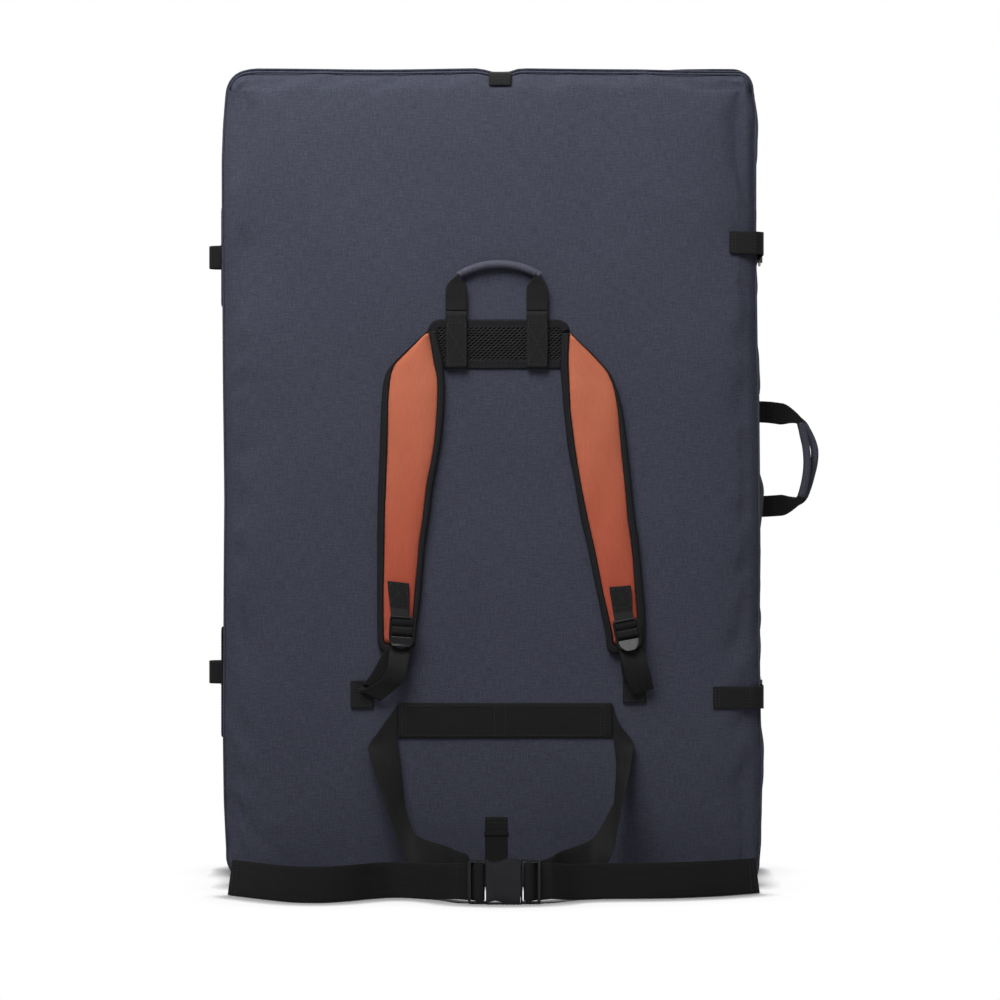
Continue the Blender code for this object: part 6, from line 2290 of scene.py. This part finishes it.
    def build_band(self) -> None:
        """The band sewn to the pad, in two layers, with its stitch rows."""
        left, right, z = HARNESS_X - 0.1108, HARNESS_X + 0.122, self.band_z
        y = -(HALF_DEPTH + FIT) - WEB
        path = np.linspace((left, y, z), (right, y, z), 120)
        path[:, 1] -= 0.00015 * np.sin(path[:, 0] * 90)
        band = strip(path, (0, 0, 1), self.width, Finish.BELT, thickness=2 * WEB - 0.0001, columns=13)
        dress(make_piece("belt_band_webbing", [band]), "front_half", "black_webbing", "belt_anchor_band")
        sewn = Stitching("belt_band_stitches")
        face, half = y - WEB, self.width / 2 - 0.003
        ends = (left + 0.004, left + 0.0075, right - 0.012, right - 0.0085)
        for x in (*ends, HARNESS_X - 0.006, HARNESS_X + 0.006):
            sewn.run(np.linspace((x, face, z - half), (x, face, z + half), 24), (0, -1, 0))
        for height in (z - half, z + half):
            sewn.run(np.linspace((ends[0], face, height), (ends[3], face, height), 120), (0, -1, 0))
        sewn.lay("front_half")

    def sew_tail(self, word: str, both: Array) -> None:
        """Two rows across the folded end of a tail.

        Args:
            word: Which side's tail.
            both: Both edges of that side's webbing, side by side.
        """
        sewn = Stitching(f"belt_tail_{word}_stitches")
        for spot in (-4, -8):
            low, high = both[spot, 3:], both[spot, :3]
            travel = unit(both[spot] - both[spot - 1])[:3]
            out = unit(np.cross(travel, high - low))
            out = out if out[1] < 0 else -out
            share = np.linspace(0.07, 0.93, 20)[:, None]
            sewn.run(low + (high - low) * share + out * WEB / 2, out)
        body = "waist_belt" if word == "left" else "buckle_plug"
        sewn.lay(body)

    def build_buckle(self) -> None:
        """Socket, plug and both latch arms, their CAD forms with rounded edges."""
        for node, body in (("buckle_female", "waist_belt"), ("buckle_male", "buckle_plug")):
            part = carried(node + "_moulding", node, Finish.PLASTIC, 0.0010, 3)
            dress(part, body, "moulded_plastic", node)
        for word in ("upper", "lower"):
            node = "buckle_latch_arm_" + word
            part = carried(node + "_moulding", node, Finish.PLASTIC, 0.0004, 2)
            dress(part, "latch_arm_" + word, "moulded_plastic", node)


# The studio


@dataclass
class Studio:
    """Floor, soft lamps, a white surround and the camera at the photograph's place."""

    camera_place: Triple = (0.008, -3.5, 0.423)
    lens: float = 112.4
    floor_grey: float = 0.42
    quiet_light: float = 0.12
    near_shadow: float = 0.030
    far_shadow: float = 0.070
    far_share: float = 0.08
    shadow_y: float = 0.038
    shadow_growth: float = 500.0
    shadow_limit: float = 7.0

    def build(self) -> None:
        """Set the scene round the pad."""
        scene = bpy.context.scene
        scene.view_settings.view_transform = "Standard"
        eye = placed("camera", bpy.data.cameras.new("camera"))
        eye.location = np.array(self.camera_place) + PLACE
        eye.rotation_euler = (math.pi / 2, 0, 0)
        eye.data.lens, eye.data.sensor_width = self.lens, 36
        eye.data.clip_end = 60
        scene.camera = eye
        self.build_floor()
        self.build_world()
        self.lamp("key", (-0.47, -1.05, 1.90), (0.0, 0.0, 0.6), 1.2, 39)
        self.lamp("glint", (-0.30, -1.10, 1.85), (0.0, 0.0, 0.4), 0.18, 3)
        self.lamp("fill", (2.4, -2.6, 1.2), (0.0, 0.0, 0.4), 2.0, 3)
        self.lamp("back", (0.8, 2.4, 2.4), (0.0, 0.0, 0.5), 2.0, 50)

    def lamp(self, name: str, place: Triple, aim: Triple, size: float, power: float) -> None:
        """A square area lamp that the camera doesn't see, turned towards a point.

        Args:
            name: The lamp's name.
            place: Where it hangs.
            aim: The point that it faces.
            size: The square's side.
            power: Its watts.
        """
        data = bpy.data.lights.new(name, "AREA")
        data.size, data.energy = size, power
        lamp = placed(name, data)
        lamp.location = place
        lamp.visible_camera = False
        way = np.array(place) - np.array(aim)
        yaw = math.atan2(way[1], way[0]) + math.pi / 2
        lamp.rotation_euler = (math.acos(way[2] / np.linalg.norm(way)), 0, yaw)

    def build_floor(self) -> None:
        """A wide pale disc, white to the camera but for the shadow where things touch it.

        The shadow is the occlusion near by to the power of a strength, times the one further
        off to a small share of that power. The strength is 1 under the pad's front half and
        grows with the square of the depth from there, up to a limit.
        """
        share = np.linspace(0, 1, 24)[:, None] ** 2
        turn = np.linspace(0, 2 * np.pi, 64, endpoint=False)[None, :]
        reach = 0.02 + 14 * share
        points = together(reach * np.cos(turn), reach * np.sin(turn), -0.0002)
        faces, _ = Patch(points, np.zeros((24, 65, 2)), Finish.NAVY, wrap=True).faces(0, 0)
        mesh = bpy.data.meshes.new("floor")
        mesh.from_pydata(points.reshape(-1, 3).tolist(), [], faces + [list(range(64))])
        floor = placed("floor", mesh)
        tree = Tree("pale_floor")
        matte = tree.put("ShaderNodeBsdfDiffuse", None, {"Color": (*[self.floor_grey] * 3, 1.0)})
        glow = tree.put("ShaderNodeEmission", None, {"Color": (1, 1, 1, 1), "Strength": 1.0})
        near, far = (
            tree.add("ShaderNodeAmbientOcclusion", {"samples": 8}, {"Distance": distance}, "AO")
            for distance in (self.near_shadow, self.far_shadow)
        )
        depth = tree.add("ShaderNodeSeparateXYZ", None, {0: tree.place()}, 1) - self.shadow_y
        strength = (depth * depth * self.shadow_growth + 1.0).clamped(1.0, self.shadow_limit)
        share = tree.shown() * near**strength * far ** (strength * self.far_share)
        tree.close(
            tree.put("ShaderNodeMixShader", None, {0: share, 1: matte.outputs[0], 2: glow.outputs[0]})
        )
        mesh.materials.append(tree.owner)

    def build_world(self) -> None:
        """White to the camera, in gloss and through gaps; a quiet grey light otherwise."""
        tree = Tree("surround", world=True)
        quiet, white = (
            tree.put("ShaderNodeBackground", None, {0: (1, 1, 1, 1), 1: power}).outputs[0]
            for power in (self.quiet_light, 1.0)
        )
        tree.close(tree.put("ShaderNodeMixShader", None, {0: tree.shown(), 1: quiet, 2: white}))
        bpy.context.scene.world = tree.owner


LEFT_STRAP = ShoulderStrap(
    "left",
    -1,
    rows=(
        (606.6, -70.6, -69.5, -69.2, -60.5), (602.2, -76.1, -74.9, -68.9, -59.9),
        (591.4, -87.5, -86.2, -67.3, -57.7), (580.5, -99.1, -97.6, -65.6, -55.2),
        (572.9, -107.1, -105.4, -64.4, -53.9), (567.5, -111.9, -108.0, -63.3, -53.4),
        (560.9, -115.9, -110.1, -61.7, -52.8), (549.0, -119.1, -111.7, -60.4, -52.2),
        (531.6, -120.9, -112.9, -60.6, -52.5), (512.1, -121.9, -113.3, -61.6, -53.6),
        (487.1, -122.6, -113.9, -63.7, -56.1), (466.4, -123.4, -114.6, -66.8, -59.8),
        (438.2, -124.5, -115.5, -72.4, -64.8), (401.3, -125.4, -116.9, -76.7, -69.5),
        (377.4, -125.6, -117.3, -80.2, -73.2), (354.6, -125.6, -117.7, -82.1, -75.3),
        (327.4, -125.6, -118.1, -84.8, -77.3), (304.6, -125.6, -118.3, -86.5, -79.7),
        (286.1, -125.6, -118.2, -88.0, -82.4), (275.3, -125.3, -118.0, -88.9, -83.9),
    ),
    lock_x=-0.0972, lock_z=0.2927, tilt=4.0,
    anchor_x=-0.1420, anchor_z=0.2115, tab_top=(-0.1024, 0.3339), lip=0.0018,
    tab_foot=-0.0030, tab_slope=-0.12, end_turn=3.0,
    tail=(
        (-111.7, 259.0, -89.0, 260.0, 13.5), (-112.4, 252.1, -91.0, 248.0, 18.0),
        (-113.8, 242.5, -93.1, 235.5, 20.5), (-118.6, 231.4, -97.9, 224.7, 18.5),
        (-128.2, 223.1, -106.2, 217.1, 14.0), (-142.6, 216.9, -120.0, 206.0, 9.0),
        (-145.3, 217.6, -122.3, 205.6, 6.6), (-142.0, 220.4, -119.4, 209.4, 5.2),
    ),
    load=(
        (-117.5, 260.0, -98.5, 260.0, 10.5), (-125.3, 245.3, -104.7, 245.3, 8.0),
        (-134.6, 230.1, -116.5, 228.0, 5.6), (-141.5, 222.7, -128.7, 219.5, 4.3),
    ),
)

RIGHT_STRAP = ShoulderStrap(
    "right",
    1,
    rows=(
        (604.4, 85.5, 84.5, 84.0, 74.6), (596.8, 93.2, 91.8, 83.6, 74.3),
        (589.2, 101.1, 99.7, 83.2, 74.0), (581.6, 109.2, 107.8, 82.9, 73.9),
        (574.0, 116.4, 114.8, 82.8, 73.8), (567.5, 122.4, 120.5, 82.9, 73.8),
        (560.9, 127.7, 124.9, 83.3, 73.9), (552.2, 132.0, 128.9, 83.7, 74.7),
        (544.6, 135.0, 131.4, 84.0, 75.3), (531.6, 138.8, 134.0, 84.7, 76.3),
        (520.8, 141.2, 135.5, 85.1, 77.2), (509.9, 142.8, 136.9, 86.3, 78.5),
        (479.5, 146.6, 139.4, 89.9, 81.9), (445.8, 150.3, 142.7, 95.5, 88.4),
        (428.4, 152.0, 144.3, 98.8, 91.4), (401.3, 155.1, 146.6, 104.3, 96.0),
        (379.6, 158.5, 149.8, 109.0, 101.4), (354.6, 161.1, 152.5, 114.4, 106.6),
        (327.4, 163.5, 154.1, 119.7, 112.3), (304.6, 165.4, 155.9, 124.7, 117.0),
        (289.4, 165.9, 157.5, 128.1, 120.1), (275.3, 165.8, 158.3, 131.2, 123.1),
    ),
    lock_x=0.1440, lock_z=0.2895, tilt=11.0,
    anchor_x=0.1542, anchor_z=0.2170, tab_top=(0.1383, 0.3295), lip=0.0064,
    tab_foot=-0.0015, tab_slope=0.083, end_turn=14.0,
    tail=(
        (137.2, 259.0, 162.3, 261.5, 15.0), (140.6, 245.3, 167.3, 246.6, 18.0),
        (145.4, 227.3, 171.8, 232.8, 15.5), (151.0, 212.8, 174.3, 219.7, 9.5),
        (151.2, 212.0, 175.0, 219.6, 7.4), (149.4, 215.5, 173.2, 223.0, 6.0),
    ),
    load=(
        (138.0, 260.0, 161.5, 260.0, 10.5), (139.1, 245.3, 163.5, 245.3, 7.5),
        (141.4, 231.0, 165.1, 231.0, 5.0), (142.0, 226.0, 165.8, 226.0, 4.3),
    ),
)

INNER_GRIP = ((0.3385, 0.5150), (0.3440, 0.5090), (0.3478, 0.4936), (0.3504, 0.4813), (0.3515, 0.4656),
              (0.3504, 0.4505), (0.3473, 0.4353), (0.3438, 0.4255), (0.3385, 0.4205))
OUTER_GRIP = ((0.3385, 0.5150), (0.3475, 0.5095), (0.3530, 0.5010), (0.3582, 0.4903), (0.3613, 0.4791),
              (0.3609, 0.4656), (0.3575, 0.4505), (0.3530, 0.4353), (0.3475, 0.4240), (0.3385, 0.4205))

CLOSURES = (
    Closure("top", (HARNESS_X, 0.0, 0.890), (0.0, 0.0, -1.0), (1.0, 0.0, 0.0), 0.0150),
    Closure(
        "bottom", (HARNESS_X, 0.0, 0.0), (0.0, 0.0, 1.0), (1.0, 0.0, 0.0), 0.0780, seat=0.0100, aside=-0.0040
    ),
    Closure("upper", (0.295, 0.0, UPPER_Z), (-1.0, 0.0, 0.0), (0.0, 0.0, 1.0), 0.0370),
    Closure("lower", (0.295, 0.0, LOWER_Z), (-1.0, 0.0, 0.0), (0.0, 0.0, 1.0), 0.0550),
)


def main() -> None:
    """Build the pad's sub-assemblies in order, then the studio."""
    Studio().build()
    for part in (
        PadHalf("front", -1),
        PadHalf("rear", 1),
        Fold(),
        *CLOSURES,
        HaulHandle(),
        CarryHandle("front", -1, INNER_GRIP, 0.0043),
        CarryHandle("rear", 1, OUTER_GRIP, 0.0038),
        Yoke(),
        LEFT_STRAP,
        RIGHT_STRAP,
        WaistBelt(),
    ):
        part.build()
        LOG.info("built %s", type(part).__name__)


if __name__ == "__main__":
    logging.basicConfig(level=logging.INFO, format="%(message)s")
    main()
